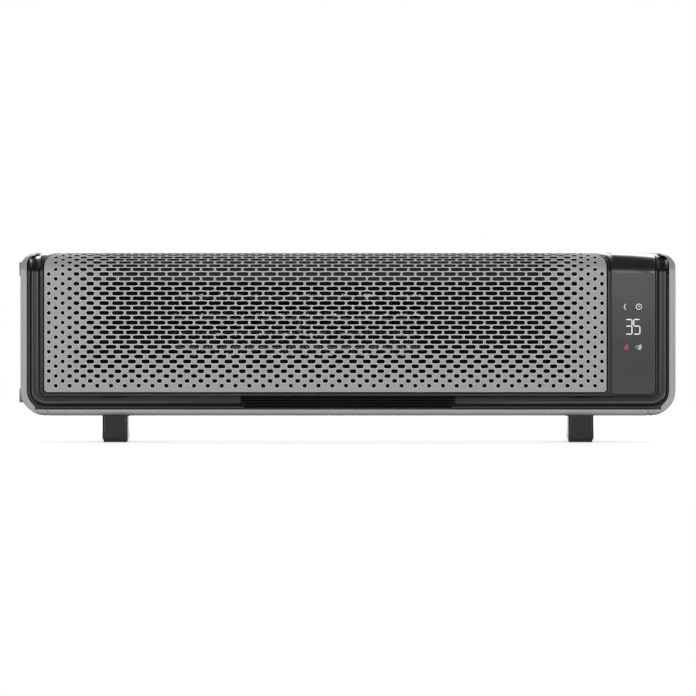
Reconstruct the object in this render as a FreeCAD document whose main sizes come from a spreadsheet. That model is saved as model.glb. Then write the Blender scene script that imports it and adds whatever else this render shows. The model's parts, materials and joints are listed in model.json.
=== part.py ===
import FreeCAD, Part
import math
import os
import re
import Sketcher
from FreeCAD import Rotation, Vector

# Low tower-style fan heater lying on two feet, in millimetres.
# X runs along the heater, Y from front to back and Z up; the floor is at Z = 0.

SIZES = {
    # Body
    "body_length": 720.0,
    "body_height": 179.0,
    "body_depth": 120.0,
    "foot_height": 29.0,
    "bottom_corner": 28.0,
    "top_corner": 16.0,
    "front_edge": 5.0,
    "bend_radius": 11.0,
    "bend_angle": 46.0,
    "crown_radius": 48.0,
    "shoulder_flat": 2.0,
    "wall": 2.2,
    "rim_width": 7.0,
    "hood_rim": 2.6,
    "cap_length": 30.0,
    "rear_skirt": 15.0,
    # Clearances
    "fit_gap": 0.3,
    "seam_gap": 0.3,
    "shadow_gap": 1.1,
    "press_gap": 0.02,
    "running_gap": 0.05,
    # Front bezel
    "bezel_width": 17.5,
    "bezel_right_width": 14.7,
    "bezel_inset": 0.4,
    "bezel_thickness": 4.6,
    "bezel_flange": 3.0,
    "mullion_width": 3.2,
    "ledge_width": 3.0,
    "cove_radius": 7.0,
    "cove_depth": 3.2,
    "cove_inset": 16.0,
    "cove_right_inset": 14.4,
    # Lower vent in the bezel
    "vent_length": 236.0,
    "vent_height": 13.6,
    "vent_base": 8.4,
    "vent_chamfer": 5.0,
    "louvre_depth": 5.0,
    "louvre_bar": 1.4,
    # Perforated grille
    "grille_gap": 1.2,
    "grille_thickness": 1.0,
    "top_run": 2.9,
    "grille_corner": 4.0,
    "grille_back_corner": 40.0,
    "hole_width": 4.6,
    "slot_length": 13.7,
    "hole_pitch": 15.2,
    "row_pitch": 5.34,
    "first_row": 7.4,
    "first_length": 5.2,
    "side_margin": 3.1,
    "side_taper": 1.1,
    "row_taper": 0.88,
    # Control panel and display
    "panel_width": 48.3,
    "panel_thickness": 2.0,
    "panel_gap": 0.5,
    "panel_drop": 1.5,
    "panel_corner": 7.0,
    "display_width": 34.0,
    "display_height": 66.0,
    "display_rise": 64.5,
    "display_depth": 2.4,
    "board_thickness": 1.6,
    "display_board_height": 92.0,
    # Baffle and heating element
    "baffle_thickness": 2.0,
    "baffle_overlap": 2.0,
    "outlet_inset": 135.3,
    "outlet_length": 291.0,
    "outlet_height": 68.0,
    "element_depth": 12.0,
    "holder_width": 8.0,
    "holder_overlap": 4.0,
    "rail_height": 3.0,
    "fin_pitch": 5.0,
    "fin_thickness": 0.4,
    # Blower
    "fan_radius": 30.0,
    "fan_rise": 99.0,
    "intake_space": 10.0,
    "fan_end_gap": 4.0,
    "disc_thickness": 2.5,
    "blade_thickness": 1.0,
    "blade_depth": 8.0,
    "scroll_gap": 3.0,
    "duct_wall": 2.0,
    "end_plate": 3.0,
    "tongue_lip": 2.4,
    # Motor and bearing
    "shaft_radius": 3.0,
    "motor_radius": 23.0,
    "motor_length": 48.0,
    "motor_wall": 1.2,
    "motor_end": 6.0,
    "stator_length": 26.0,
    "stator_bore": 13.5,
    "air_gap": 0.5,
    "shaft_hole": 8.0,
    "bush_radius": 7.0,
    "bush_length": 5.0,
    "rubber_radius": 10.0,
    "shaft_end": 3.0,
    # Rear housing and intake
    "rear_wall": 3.0,
    "rear_flange": 2.0,
    "flange_length": 18.0,
    "intake_length": 280.0,
    "intake_height": 100.0,
    "intake_rise": 51.0,
    "intake_ledge": 5.0,
    "cover_thickness": 1.7,
    "cover_corner": 6.0,
    "slot_columns": 5.0,
    "slot_rows": 9.0,
    "slot_width": 5.0,
    "slot_margin": 9.0,
    "grip_radius": 9.0,
    "filter_thickness": 0.8,
    "filter_pitch": 13.0,
    "filter_wire": 1.2,
    # Power board
    "board_length": 130.0,
    "board_height": 90.0,
    "board_inset": 35.0,
    "board_rise": 33.0,
    "boss_length": 41.4,
    "boss_inset": 10.0,
    "boss_radius": 4.0,
    "relay_length": 19.0,
    "relay_width": 15.5,
    "relay_height": 15.0,
    "capacitor_radius": 6.5,
    "capacitor_height": 20.0,
    "terminal_length": 40.0,
    "terminal_height": 12.0,
    "tilt_size": 14.0,
    "cutout_radius": 8.0,
    "cutout_height": 9.0,
    # Rear power switch
    "switch_inset": 60.0,
    "switch_rise": 19.0,
    "switch_width": 22.0,
    "switch_height": 14.0,
    "switch_depth": 14.0,
    "switch_flange": 1.6,
    "flange_proud": 1.2,
    "rocker_radius": 4.2,
    "rocker_play": 1.4,
    "rocker_proud": 1.6,
    "rocker_angle": 8.0,
    # Cord gland
    "gland_inset": 25.0,
    "gland_rise": 63.0,
    "gland_bore": 3.8,
    "gland_neck": 6.5,
    "gland_flange": 9.0,
    "gland_length": 18.0,
    # Feet and end pads
    "foot_spacing": 512.0,
    "foot_width": 28.0,
    "foot_depth": 132.0,
    "foot_corner": 3.0,
    "sole_thickness": 2.0,
    "sole_inset": 1.5,
    "screw_spacing": 64.0,
    "screw_radius": 2.0,
    "screw_hole": 2.3,
    "screw_head": 3.8,
    "head_height": 3.0,
    "head_recess": 14.0,
    "screw_reach": 8.0,
    "pad_height": 15.0,
    "pad_depth": 60.0,
    "pad_proud": 2.0,
    "pad_drop": 17.5,
    "pad_rise": 22.0,
    # Rear fixing posts
    "post_inset": 15.0,
    "post_rise": 33.0,
    "post_drop": 28.0,
    "post_radius": 5.0,
    "post_length": 18.0,
}

doc = FreeCAD.newDocument("fan_heater")
sheet = doc.addObject("Spreadsheet::Sheet", "Sizes")
for row, (size_name, amount) in enumerate(SIZES.items(), 1):
    sheet.set("A%d" % row, size_name)
    sheet.set("B%d" % row, str(amount))
    sheet.setAlias("B%d" % row, size_name)
doc.recompute()

SIZE_WORD = re.compile(r"\b(" + "|".join(SIZES) + r")\b")
TURNS = {
    "x": Rotation(Vector(1, 1, 1), 120),
    "y": Rotation(Vector(1, 0, 0), 90),
    "z": Rotation(),
}
ROD_TURNS = {
    "x": Rotation(Vector(0, 1, 0), 90),
    "y": Rotation(Vector(1, 0, 0), -90),
    "z": Rotation(),
}

nodes = []


# Formulas and links

def linked(formula):
    """The formula with each size's name pointing at its cell."""
    return SIZE_WORD.sub(r"Sizes.\1", str(formula))


def number(formula):
    """What a formula of sizes comes to now."""
    result = sheet.evalExpression(linked(formula))
    return float(getattr(result, "Value", result))


def link(target, prop, formula):
    target.setExpression(prop, linked(formula))


def place(target, x, y, z):
    for axis, formula in zip("xyz", (x, y, z)):
        link(target, "Placement.Base." + axis, formula)


def plus(*formulas):
    return "(" + " + ".join("(%s)" % part for part in formulas) + ")"


def minus(first, *others):
    return "((%s)" % first + "".join(" - (%s)" % part for part in others) + ")"


def middle(low, high):
    return "(((%s) + (%s)) / 2)" % (low, high)


def keep(name, solid):
    """Mark an object as one of the heater's pieces."""
    solid.Label = name
    nodes.append((name, solid))
    return solid


# Solids

def box(name, x, y, z):
    """A block between pairs of formulas along each axis."""
    solid = doc.addObject("Part::Box", name)
    for side, (low, high) in zip(("Length", "Width", "Height"), (x, y, z)):
        link(solid, side, minus(high, low))
    place(solid, x[0], y[0], z[0])
    return solid


def rod(name, axis, start, radius, length):
    solid = doc.addObject("Part::Cylinder", name)
    solid.Placement.Rotation = ROD_TURNS[axis]
    link(solid, "Radius", radius)
    link(solid, "Height", length)
    place(solid, *start)
    return solid


def join(name, *solids):
    result = doc.addObject("Part::MultiFuse", name)
    result.Shapes = list(solids)
    result.Refine = True
    return result


def common(name, *solids):
    result = doc.addObject("Part::MultiCommon", name)
    result.Shapes = list(solids)
    return result


def cut(name, base, *tools):
    result = doc.addObject("Part::Cut", name)
    result.Base = base
    result.Tool = tools[0] if len(tools) == 1 else join(name + "_tools", *tools)
    return result


def corner_arc(before, here, after, radius):
    """Tangent points, centre and reach of the arc that rounds one corner."""
    back = (before - here).normalize()
    ahead = (after - here).normalize()
    half = back.getAngle(ahead) / 2
    reach = radius / math.tan(half)
    centre = here + (back + ahead).normalize() * (radius / math.sin(half))
    return here + back * reach, here + ahead * reach, centre


def fix_point(sketch, index, position, across, up):
    """Tie one point of a sketch to two formulas."""
    for kind, formula in (("DistanceX", across), ("DistanceY", up)):
        constraint = Sketcher.Constraint(kind, -1, 1, index, position, number(formula))
        sketch.setExpression("Constraints[%d]" % sketch.addConstraint(constraint), linked(formula))


def fix_radius(sketch, index, radius):
    constraint = Sketcher.Constraint("Radius", index, number(radius))
    sketch.setExpression("Constraints[%d]" % sketch.addConstraint(constraint), linked(radius))


def draw_arc(sketch, first, last, centre, radius):
    """Add the short arc from first to last; says which end of it first is."""
    circle = Part.Circle(centre, Vector(0, 0, 1), radius)
    start = math.atan2(first.y - centre.y, first.x - centre.x)
    end = math.atan2(last.y - centre.y, last.x - centre.x)
    forward = (end - start) % (2 * math.pi) < math.pi
    if not forward:
        start, end = end, start
    if end < start:
        end += 2 * math.pi
    index = sketch.addGeometry(Part.ArcOfCircle(circle, start, end))
    return index, (1, 2) if forward else (2, 1)


def draw_outline(sketch, corners):
    """Draw a closed outline in a sketch. Each corner is (across, up) or (across, up, radius)."""
    count = len(corners)
    points = [Vector(number(c[0]), number(c[1]), 0) for c in corners]
    entries, exits, centres = list(points), list(points), [None] * count
    for i, corner in enumerate(corners):
        if len(corner) == 3:
            radius = number(corner[2])
            around = points[i - 1], points[i], points[(i + 1) % count]
            entries[i], exits[i], centres[i] = corner_arc(*around, radius)
    lines = []
    for i in range(count):
        lines.append(sketch.addGeometry(Part.LineSegment(exits[i], entries[(i + 1) % count])))
    for i, corner in enumerate(corners):
        if len(corner) == 2:
            sketch.addConstraint(Sketcher.Constraint("Coincident", lines[i - 1], 2, lines[i], 1))
            fix_point(sketch, lines[i], 1, corner[0], corner[1])
            continue
        tip = sketch.addGeometry(Part.Point(points[i]), True)
        fix_point(sketch, tip, 1, corner[0], corner[1])
        sketch.addConstraint(Sketcher.Constraint("PointOnObject", tip, 1, lines[i - 1]))
        sketch.addConstraint(Sketcher.Constraint("PointOnObject", tip, 1, lines[i]))
        arc, ends = draw_arc(sketch, entries[i], exits[i], centres[i], number(corner[2]))
        sketch.addConstraint(Sketcher.Constraint("Tangent", lines[i - 1], 2, arc, ends[0]))
        sketch.addConstraint(Sketcher.Constraint("Tangent", lines[i], 1, arc, ends[1]))
        fix_radius(sketch, arc, corner[2])


def draw_circle(sketch, across, up, radius):
    centre = Vector(number(across), number(up), 0)
    index = sketch.addGeometry(Part.Circle(centre, Vector(0, 0, 1), number(radius)))
    fix_point(sketch, index, 3, across, up)
    fix_radius(sketch, index, radius)


def prism(name, axis, corners, low, high):
    """An outline pushed along one axis. Along x its corners are (y, z), along y (x, z), along z (x, y)."""
    sketch = doc.addObject("Sketcher::SketchObject", name + "_outline")
    sketch.Placement.Rotation = TURNS[axis]
    draw_outline(sketch, corners)
    link(sketch, "Placement.Base." + axis, low)
    solid = doc.addObject("Part::Extrusion", name)
    solid.Base = sketch
    solid.DirMode = "Custom"
    solid.Dir = {"x": Vector(1, 0, 0), "y": Vector(0, 1, 0), "z": Vector(0, 0, 1)}[axis]
    link(solid, "LengthFwd", minus(high, low))
    solid.Solid = True
    return solid


def rectangle(x, z):
    return [(x[0], z[0]), (x[1], z[0]), (x[1], z[1]), (x[0], z[1])]


# Bodies with features

def new_body(name, x="0", y="0", z="0"):
    body = doc.addObject("PartDesign::Body", name)
    place(body, x, y, z)
    return body


def new_sketch(body, name, plane):
    sketch = body.newObject("Sketcher::SketchObject", name)
    support = [item for item in body.Origin.OriginFeatures if item.Role == plane][0]
    sketch.AttachmentSupport = [(support, "")]
    sketch.MapMode = "FlatFace"
    return sketch


def new_pad(body, sketch, name, length, reverse=False):
    pad = body.newObject("PartDesign::Pad", name)
    pad.Profile = sketch
    pad.Reversed = reverse
    link(pad, "Length", length)
    sketch.Visibility = False
    return pad


def turned(name, x, y, z, profile):
    """A piece turned about its own Z axis; the profile's corners are (radius, height)."""
    body = new_body(name, x, y, z)
    sketch = new_sketch(body, name + "_profile", "XZ_Plane")
    draw_outline(sketch, profile)
    spin = body.newObject("PartDesign::Revolution", name + "_turn")
    spin.Profile = sketch
    spin.ReferenceAxis = (sketch, ["V_Axis"])
    spin.Angle = 360
    return body


# Places that several pieces share

LEFT = "(-body_length / 2)"
RIGHT = "(body_length / 2)"
FRONT = "(-body_depth / 2)"
BACK = "(body_depth / 2)"
BOTTOM = "foot_height"
TOP = "(foot_height + body_height)"
SHOULDER = "(bend_radius * tan(bend_angle / 2) + crown_radius * tan(45 - bend_angle / 2) + shoulder_flat)"
BELT_BACK = minus(BACK, "rear_skirt")
BEZEL_BACK = plus(FRONT, "bezel_inset", "bezel_thickness")

GRILLE_LEFT = plus(LEFT, "rim_width", "bezel_width", "grille_gap")
GRILLE_BOTTOM = plus(BOTTOM, "rim_width", "bezel_width", "grille_gap")
PANEL_RIGHT = minus(RIGHT, "rim_width", "bezel_right_width", "panel_gap")
PANEL_LEFT = minus(PANEL_RIGHT, "panel_width")
PANEL_BOTTOM = minus(plus(BOTTOM, "rim_width", "bezel_width", "panel_gap"), "panel_drop")
GRILLE_RIGHT = minus(PANEL_LEFT, "panel_gap", "mullion_width", "grille_gap")
CROWN_RUN = "(crown_radius * tan(45 - bend_angle / 2))"
GRILLE_END = plus(FRONT, SHOULDER + " * sin(bend_angle)", CROWN_RUN, "top_run")
BEZEL_TAILS = {
    "left": (LEFT, plus(GRILLE_LEFT, "grille_back_corner")),
    "right": (minus(GRILLE_RIGHT, "grille_back_corner"), plus(PANEL_LEFT, "ledge_width")),
}

OUTLET_LEFT = plus(GRILLE_LEFT, "outlet_inset")
OUTLET_RIGHT = plus(OUTLET_LEFT, "outlet_length")
OUTLET_BOTTOM = minus(plus(BOTTOM, "fan_rise"), "fan_radius", "scroll_gap")
OUTLET_TOP = plus(OUTLET_BOTTOM, "outlet_height")
BAFFLE_FRONT = plus(BEZEL_BACK, "fit_gap")
ELEMENT_FRONT = plus(BAFFLE_FRONT, "baffle_thickness", "fit_gap")
ELEMENT_BACK = plus(ELEMENT_FRONT, "element_depth")
DUCT_FRONT = plus(ELEMENT_BACK, "fit_gap")
REAR_INSIDE = minus(BACK, "rear_wall")
POST_X = {"left": plus(LEFT, "post_inset"), "right": minus(RIGHT, "post_inset")}
POST_Z = {"low": plus(BOTTOM, "post_rise"), "high": minus(TOP, "post_drop")}


def front_corners(inset):
    """The two rounded corners of the front and top, going up and back."""
    bend = (
        plus(FRONT, inset),
        minus(TOP, SHOULDER + " * cos(bend_angle)", "(%s) * tan(bend_angle / 2)" % inset),
        minus("bend_radius", inset),
    )
    crown = (
        plus(FRONT, SHOULDER + " * sin(bend_angle)", "(%s) * tan(45 - bend_angle / 2)" % inset),
        minus(TOP, inset),
        minus("crown_radius", inset),
    )
    return bend, crown


def front_band(name, inset, thickness, x, bottom, reach):
    """A sheet that follows the heater's front up and over its bent top edge."""
    inner = plus(inset, thickness)
    bend, crown = front_corners(inset)
    inner_bend, inner_crown = front_corners(inner)
    corners = [
        (plus(FRONT, inner), bottom),
        inner_bend,
        inner_crown,
        (reach, minus(TOP, inner)),
        (reach, minus(TOP, inset)),
        crown,
        bend,
        (plus(FRONT, inset), bottom),
    ]
    return prism(name, "x", corners, *x)


def front_outline(inset, top_inset=None):
    """The heater's rounded outline seen from the front, drawn in by the inset, or by another at the top."""
    low, high = plus(LEFT, inset), minus(RIGHT, inset)
    bottom, top = plus(BOTTOM, inset), minus(TOP, top_inset or inset)
    lower, upper = minus("bottom_corner", inset), minus("top_corner", inset)
    return [(low, bottom, lower), (high, bottom, lower), (high, top, upper), (low, top, upper)]


def envelope(name, inset):
    """The heater's whole body, drawn in by the inset."""
    bend, crown = front_corners(inset)
    side = [
        (plus(FRONT, inset), plus(BOTTOM, inset), minus("front_edge", inset)),
        (BACK, plus(BOTTOM, inset)),
        (BACK, minus(TOP, inset)),
        crown,
        bend,
    ]
    profile = prism(name + "_side", "x", side, LEFT, RIGHT)
    outline = prism(name + "_front", "y", front_outline(inset), FRONT, BACK)
    return common(name, profile, outline)


# Silver belt: two end caps, bottom panel and top panel

belt = cut("belt", envelope("outer_body", "0"), envelope("inner_body", "wall"))
bezel_window = prism(
    "bezel_window", "y", front_outline("rim_width", "hood_rim"), minus(FRONT, "1"), GRILLE_END
)
hood_opening = box(
    "hood_opening",
    (plus(LEFT, "top_corner"), minus(RIGHT, "top_corner")),
    (minus(FRONT, "1"), plus(GRILLE_END, "grille_gap")),
    (plus(BOTTOM, "rim_width"), plus(TOP, "1")),
)
belt_opening = join("belt_opening", bezel_window, hood_opening)
open_belt = cut("open_belt", belt, belt_opening)
CAP_LEFT = plus(LEFT, "cap_length")
CAP_RIGHT = minus(RIGHT, "cap_length")
PANEL_SPAN = (plus(CAP_LEFT, "seam_gap"), minus(CAP_RIGHT, "seam_gap"))


def end_cap(name, x, outer, inward):
    """One end of the belt, with two posts that take the rear screws."""
    region = box(name + "_region", x, (minus(FRONT, "1"), BELT_BACK), (minus(BOTTOM, "1"), plus(TOP, "1")))
    shell = common(name + "_shell", open_belt, region)
    centre = "(%s + (%d) * post_inset)" % (outer, inward)
    wall_face = "(%s + (%d) * wall)" % (outer, inward)
    far = "(%s + (%d) * (post_inset + post_radius))" % (outer, inward)
    near, end = (wall_face, far) if inward > 0 else (far, wall_face)
    back = minus(BACK, "rear_wall", "flange_length", "fit_gap")
    front = minus(back, "post_length")
    posts, bores = [], []
    for label, height in POST_Z.items():
        part = name + "_post_" + label
        span = (minus(height, "post_radius"), plus(height, "post_radius"))
        posts.append(box(part, (near, end), (front, back), span))
        bores.append(rod(part + "_bore", "y", (centre, minus(front, "1"), height), "screw_hole",
                         "post_length + 2"))
    return keep(name, cut(name, join(name + "_solid", shell, *posts), *bores))


end_cap("left_end_cap", (minus(LEFT, "1"), CAP_LEFT), LEFT, 1)
end_cap("right_end_cap", (CAP_RIGHT, plus(RIGHT, "1")), RIGHT, -1)

FOOT_CENTRES = {"left": "(-foot_spacing / 2)", "right": "(foot_spacing / 2)"}
SCREW_LINES = {"front": "(-screw_spacing / 2)", "back": "(screw_spacing / 2)"}


def bottom_panel():
    region = box(
        "bottom_region", PANEL_SPAN, (minus(FRONT, "1"), BELT_BACK),
        (minus(BOTTOM, "1"), plus(BOTTOM, "rim_width", "1")),
    )
    shell = common("bottom_shell", open_belt, region)
    floor = plus(BOTTOM, "wall")
    bosses, holes = [], []
    for side, x in FOOT_CENTRES.items():
        for line, y in SCREW_LINES.items():
            part = "bottom_boss_%s_%s" % (side, line)
            bosses.append(rod(part, "z", (x, y, minus(floor, "wall / 2")), "post_radius",
                              "screw_reach + wall / 2 + 2"))
            holes.append(rod(part + "_hole", "z", (x, y, minus(BOTTOM, "1")), "screw_hole",
                             "wall + screw_reach + 4"))
    return cut("bottom_panel", join("bottom_solid", shell, *bosses), *holes)


def top_panel():
    region = box(
        "top_region", PANEL_SPAN, (plus(GRILLE_END, "grille_gap"), BELT_BACK),
        (minus(TOP, "rim_width"), plus(TOP, "1")),
    )
    shell = common("top_shell", open_belt, region)
    step = plus("panel_thickness", "fit_gap")
    ledge = box(
        "top_ledge", PANEL_SPAN, (minus(GRILLE_END, "ledge_width"), plus(GRILLE_END, "grille_gap", "wall")),
        (minus(TOP, step, "wall"), minus(TOP, step)),
    )
    riser = box(
        "top_riser", PANEL_SPAN, (plus(GRILLE_END, "grille_gap"), plus(GRILLE_END, "grille_gap", "wall")),
        (minus(TOP, step, "wall"), minus(TOP, "wall / 2")),
    )
    tails = []
    for side, x in BEZEL_TAILS.items():
        tails.append(box(
            "bezel_tail_" + side, (minus(x[0], "fit_gap"), plus(x[1], "fit_gap")),
            (minus(GRILLE_END, "ledge_width", "1"), plus(GRILLE_END, "fit_gap")),
            (minus(TOP, step, "wall", "1"), TOP),
        ))
    return cut("top_panel", join("top_solid", shell, ledge, riser), *tails)


keep("bottom_panel", bottom_panel())
keep("top_panel", top_panel())


# Front bezel with its cove, and the louvre in its lower vent

def rounded_path(corners):
    """A wire through corners (point, radius) in space; the first and last have no radius."""
    edges, last = [], corners[0][0]
    for i in range(1, len(corners) - 1):
        here, radius = corners[i]
        entry, leave, centre = corner_arc(corners[i - 1][0], here, corners[i + 1][0], radius)
        edges.append(Part.LineSegment(last, entry).toShape())
        if radius:
            halfway = centre + (here - centre).normalize() * radius
            edges.append(Part.Arc(entry, halfway, leave).toShape())
        last = leave
    edges.append(Part.LineSegment(last, corners[-1][0]).toShape())
    return Part.Wire(edges)


def cove_cutter():
    """A round tool run up both arms of the bezel and along its foot."""
    inset = minus(plus("bezel_inset", "cove_depth"), "cove_radius")
    bend, crown = [tuple(number(part) for part in corner) for corner in front_corners(inset)]
    low = number(plus(BOTTOM, "cove_inset"))
    turn = max(number("bottom_corner - cove_inset"), number("cove_radius + bezel_inset"))
    front = number(plus(FRONT, inset))
    end = Vector(0, number(GRILLE_END), crown[1])
    left = Vector(number(plus(LEFT, "cove_inset")), 0, 0)
    right = Vector(number(minus(RIGHT, "cove_right_inset")), 0, 0)
    arm = [(end, None), (Vector(0, crown[0], crown[1]), crown[2]), (Vector(0, bend[0], bend[1]), bend[2])]
    foot = (Vector(0, front, low), turn)
    corners = [(left + point, radius) for point, radius in arm + [foot]]
    corners += [(right + point, radius) for point, radius in [foot] + arm[::-1]]
    path = doc.addObject("Part::Feature", "cove_path")
    path.Shape = rounded_path(corners)
    section = doc.addObject("Part::Circle", "cove_section")
    section.Placement.Rotation = TURNS["y"]
    link(section, "Radius", "cove_radius")
    place(section, plus(LEFT, "cove_inset"), GRILLE_END, minus(TOP, inset))
    cutter = doc.addObject("Part::Sweep", "cove_cutter")
    cutter.Sections = [section]
    cutter.Spine = (path, [])
    cutter.Solid = True
    return cutter


VENT = ("(-vent_length / 2)", "(vent_length / 2)")
VENT_BOTTOM = plus(BOTTOM, "vent_base")
VENT_TOP = plus(VENT_BOTTOM, "vent_height")


def vent_outline(gap):
    low, high = plus(VENT[0], gap), minus(VENT[1], gap)
    bottom, top = plus(VENT_BOTTOM, gap), minus(VENT_TOP, gap)
    return [
        (plus(low, "vent_chamfer"), bottom),
        (minus(high, "vent_chamfer"), bottom),
        (high, plus(bottom, "vent_chamfer")),
        (high, top),
        (low, top),
        (low, plus(bottom, "vent_chamfer")),
    ]


def grille_plan(grow):
    """The grille seen from above, with its rounded back corners, grown by a margin."""
    left, right = minus(GRILLE_LEFT, grow), plus(GRILLE_RIGHT, grow)
    front, back = minus(FRONT, "2"), plus(GRILLE_END, grow)
    corner = plus("grille_back_corner", grow)
    return [(left, front), (right, front), (right, back, corner), (left, back, corner)]


def front_bezel():
    rim = plus("rim_width", "shadow_gap")
    inner_left = plus(LEFT, "top_corner", "fit_gap")
    inner_right = minus(RIGHT, "top_corner", "fit_gap")
    span = (plus(LEFT, rim), minus(RIGHT, rim))
    foot = plus(BOTTOM, rim)
    skin = front_band("bezel_skin", "bezel_inset", "bezel_thickness", span, foot, GRILLE_END)
    arms = front_outline(rim, plus("hood_rim", "fit_gap"))
    window = prism("bezel_arms", "y", arms, minus(FRONT, "1"), plus(GRILLE_END, "1"))
    fingers = box(
        "bezel_fingers", (inner_left, inner_right), (minus(FRONT, "1"), plus(GRILLE_END, "1")),
        (plus(BOTTOM, "bottom_corner"), plus(TOP, "1")),
    )
    face = common("bezel_face", skin, join("bezel_view", window, fingers))
    flange_plate = prism(
        "bezel_flange_plate", "y", front_outline("rim_width - bezel_flange"),
        plus(FRONT, "wall", "fit_gap"), BEZEL_BACK,
    )
    flange_region = box(
        "bezel_flange_region", (LEFT, RIGHT), (FRONT, "0"),
        (BOTTOM, minus(TOP, SHOULDER, "bend_radius")),
    )
    flange = common("bezel_flange_ring", flange_plate, flange_region)

    def recess(name, depth, x, bottom):
        return front_band(name, "-1", plus("1", depth), x, bottom, plus(GRILLE_END, "1"))

    def through(name, x, bottom):
        return box(name, x, (minus(FRONT, "2"), plus(GRILLE_END, "2")), (bottom, plus(TOP, "2")))

    def under_grille(name, solid, grow):
        return common(name, solid, prism(name + "_plan", "z", grille_plan(grow), BOTTOM, plus(TOP, "2")))

    grille_x = (minus(GRILLE_LEFT, "grille_gap"), plus(GRILLE_RIGHT, "grille_gap"))
    grille_low = plus(GRILLE_BOTTOM, "ledge_width")
    panel_x = (minus(PANEL_LEFT, "panel_gap"), plus(PANEL_RIGHT, "panel_gap"))
    ledge = "ledge_width"
    return cut(
        "front_bezel",
        join("bezel_solid", face, flange),
        under_grille("grille_seat", recess("grille_recess", plus("grille_thickness", "fit_gap"), grille_x,
                                           minus(GRILLE_BOTTOM, "grille_gap")), "grille_gap"),
        recess("panel_recess", plus("panel_thickness", "fit_gap"), panel_x,
               minus(PANEL_BOTTOM, "panel_gap")),
        under_grille("grille_opening", through("grille_air", (GRILLE_LEFT, GRILLE_RIGHT), grille_low),
                     "-ledge_width"),
        through("grille_back", (BEZEL_TAILS["left"][1], BEZEL_TAILS["right"][0]), grille_low),
        through("panel_opening", (plus(PANEL_LEFT, ledge), minus(PANEL_RIGHT, ledge)),
                plus(PANEL_BOTTOM, ledge)),
        prism("vent_hole", "y", vent_outline("0"), minus(FRONT, "1"), plus(BEZEL_BACK, "1")),
        cove_cutter(),
    )


def lower_vent_louvre():
    back = plus(BEZEL_BACK, "louvre_depth")
    block = prism("louvre_block", "y", vent_outline("fit_gap"), minus(BEZEL_BACK, "1"), back)
    flange = box(
        "louvre_flange", (minus(VENT[0], "bezel_flange"), plus(VENT[1], "bezel_flange")),
        (BEZEL_BACK, back), (minus(VENT_BOTTOM, "bezel_flange"), plus(VENT_TOP, "bezel_flange")),
    )
    gaps = []
    pitch = "((vent_height - louvre_bar) / 4)"
    for i in range(4):
        low = plus(VENT_BOTTOM, "louvre_bar", "%d * %s" % (i, pitch))
        reach = "vent_chamfer" if i < 2 else "louvre_bar"
        gaps.append(box(
            "louvre_gap_%d" % i, (plus(VENT[0], reach), minus(VENT[1], reach)),
            (minus(BEZEL_BACK, "2"), plus(back, "1")), (low, plus(low, pitch, "-louvre_bar")),
        ))
    return cut("lower_vent_louvre", join("louvre_solid", block, flange), *gaps)


keep("front_bezel", front_bezel())
keep("lower_vent_louvre", lower_vent_louvre())


# Perforated grille

def slot_wire(x, z, length, width):
    """One obround hole in the sheet, or a circle where its length is no more than its width."""
    radius = width / 2
    half = (length - width) / 2
    if half < 0.05:
        return Part.Wire(Part.Circle(Vector(x, 0, z), Vector(0, 1, 0), radius).toShape())
    low, high = z - radius, z + radius
    left_tip = Vector(x - half - radius, 0, z)
    right_tip = Vector(x + half + radius, 0, z)
    return Part.Wire([
        Part.LineSegment(Vector(x - half, 0, low), Vector(x + half, 0, low)).toShape(),
        Part.Arc(Vector(x + half, 0, low), right_tip, Vector(x + half, 0, high)).toShape(),
        Part.LineSegment(Vector(x + half, 0, high), Vector(x - half, 0, high)).toShape(),
        Part.Arc(Vector(x - half, 0, high), left_tip, Vector(x - half, 0, low)).toShape(),
    ])


def hole_rows():
    """Rows of holes as (distance up the sheet, [(x, length)]), shorter towards the sides and the foot."""
    left, right = number(GRILLE_LEFT), number(GRILLE_RIGHT)
    width, longest, pitch = number("hole_width"), number("slot_length"), number("hole_pitch")
    centre = (left + right) / 2
    spare = number("side_margin") + width / 2
    columns = int((right - left - 2 * spare) / pitch)
    height = sheet_length() - number("first_row")
    count = int((height - width) / number("row_pitch")) + 1
    rows = []
    for r in range(count):
        across = columns if r % 2 else columns - 1
        row = []
        distance = number("first_row") + r * number("row_pitch")
        for k in range(across + 1):
            steps = min(k, across - k) * 2 + (0 if r % 2 else 1)
            side = width + max(0, steps - 2) * number("side_taper")
            foot = number("first_length") + r * number("row_taper")
            x, length = centre + (k - across / 2) * pitch, min(side, foot, longest)
            if clear_of_corner(abs(x - centre) + length / 2, distance):
                row.append((x, length))
        rows.append((distance, row))
    return rows


def clear_of_corner(reach, distance):
    """Whether a hole that reaches this far from the middle keeps its margin to the rounded back corner."""
    corner = number("grille_back_corner")
    across = reach - (number(GRILLE_RIGHT) - number(GRILLE_LEFT)) / 2 + corner
    back = sheet_place(distance)[0] + number("hole_width") / 2 - number(GRILLE_END) + corner
    return min(across, back) < 0 or math.hypot(across, back) < corner - number("side_margin")


def sheet_parts():
    """Lengths of the sheet's flat, bend, shoulder, crown and top, going up and over."""
    bend, crown = front_corners("0")
    half_bend = number("bend_radius * tan(bend_angle / 2)")
    half_crown = number("crown_radius * tan(45 - bend_angle / 2)")
    flat = number(bend[1]) - half_bend - number(GRILLE_BOTTOM)
    top = number(GRILLE_END) - number(crown[0]) - half_crown
    turn = math.radians(number("bend_angle"))
    return flat, number("bend_radius") * turn, number("shoulder_flat"), \
        number("crown_radius") * (math.pi / 2 - turn), top


def sheet_length():
    return sum(sheet_parts())


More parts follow.
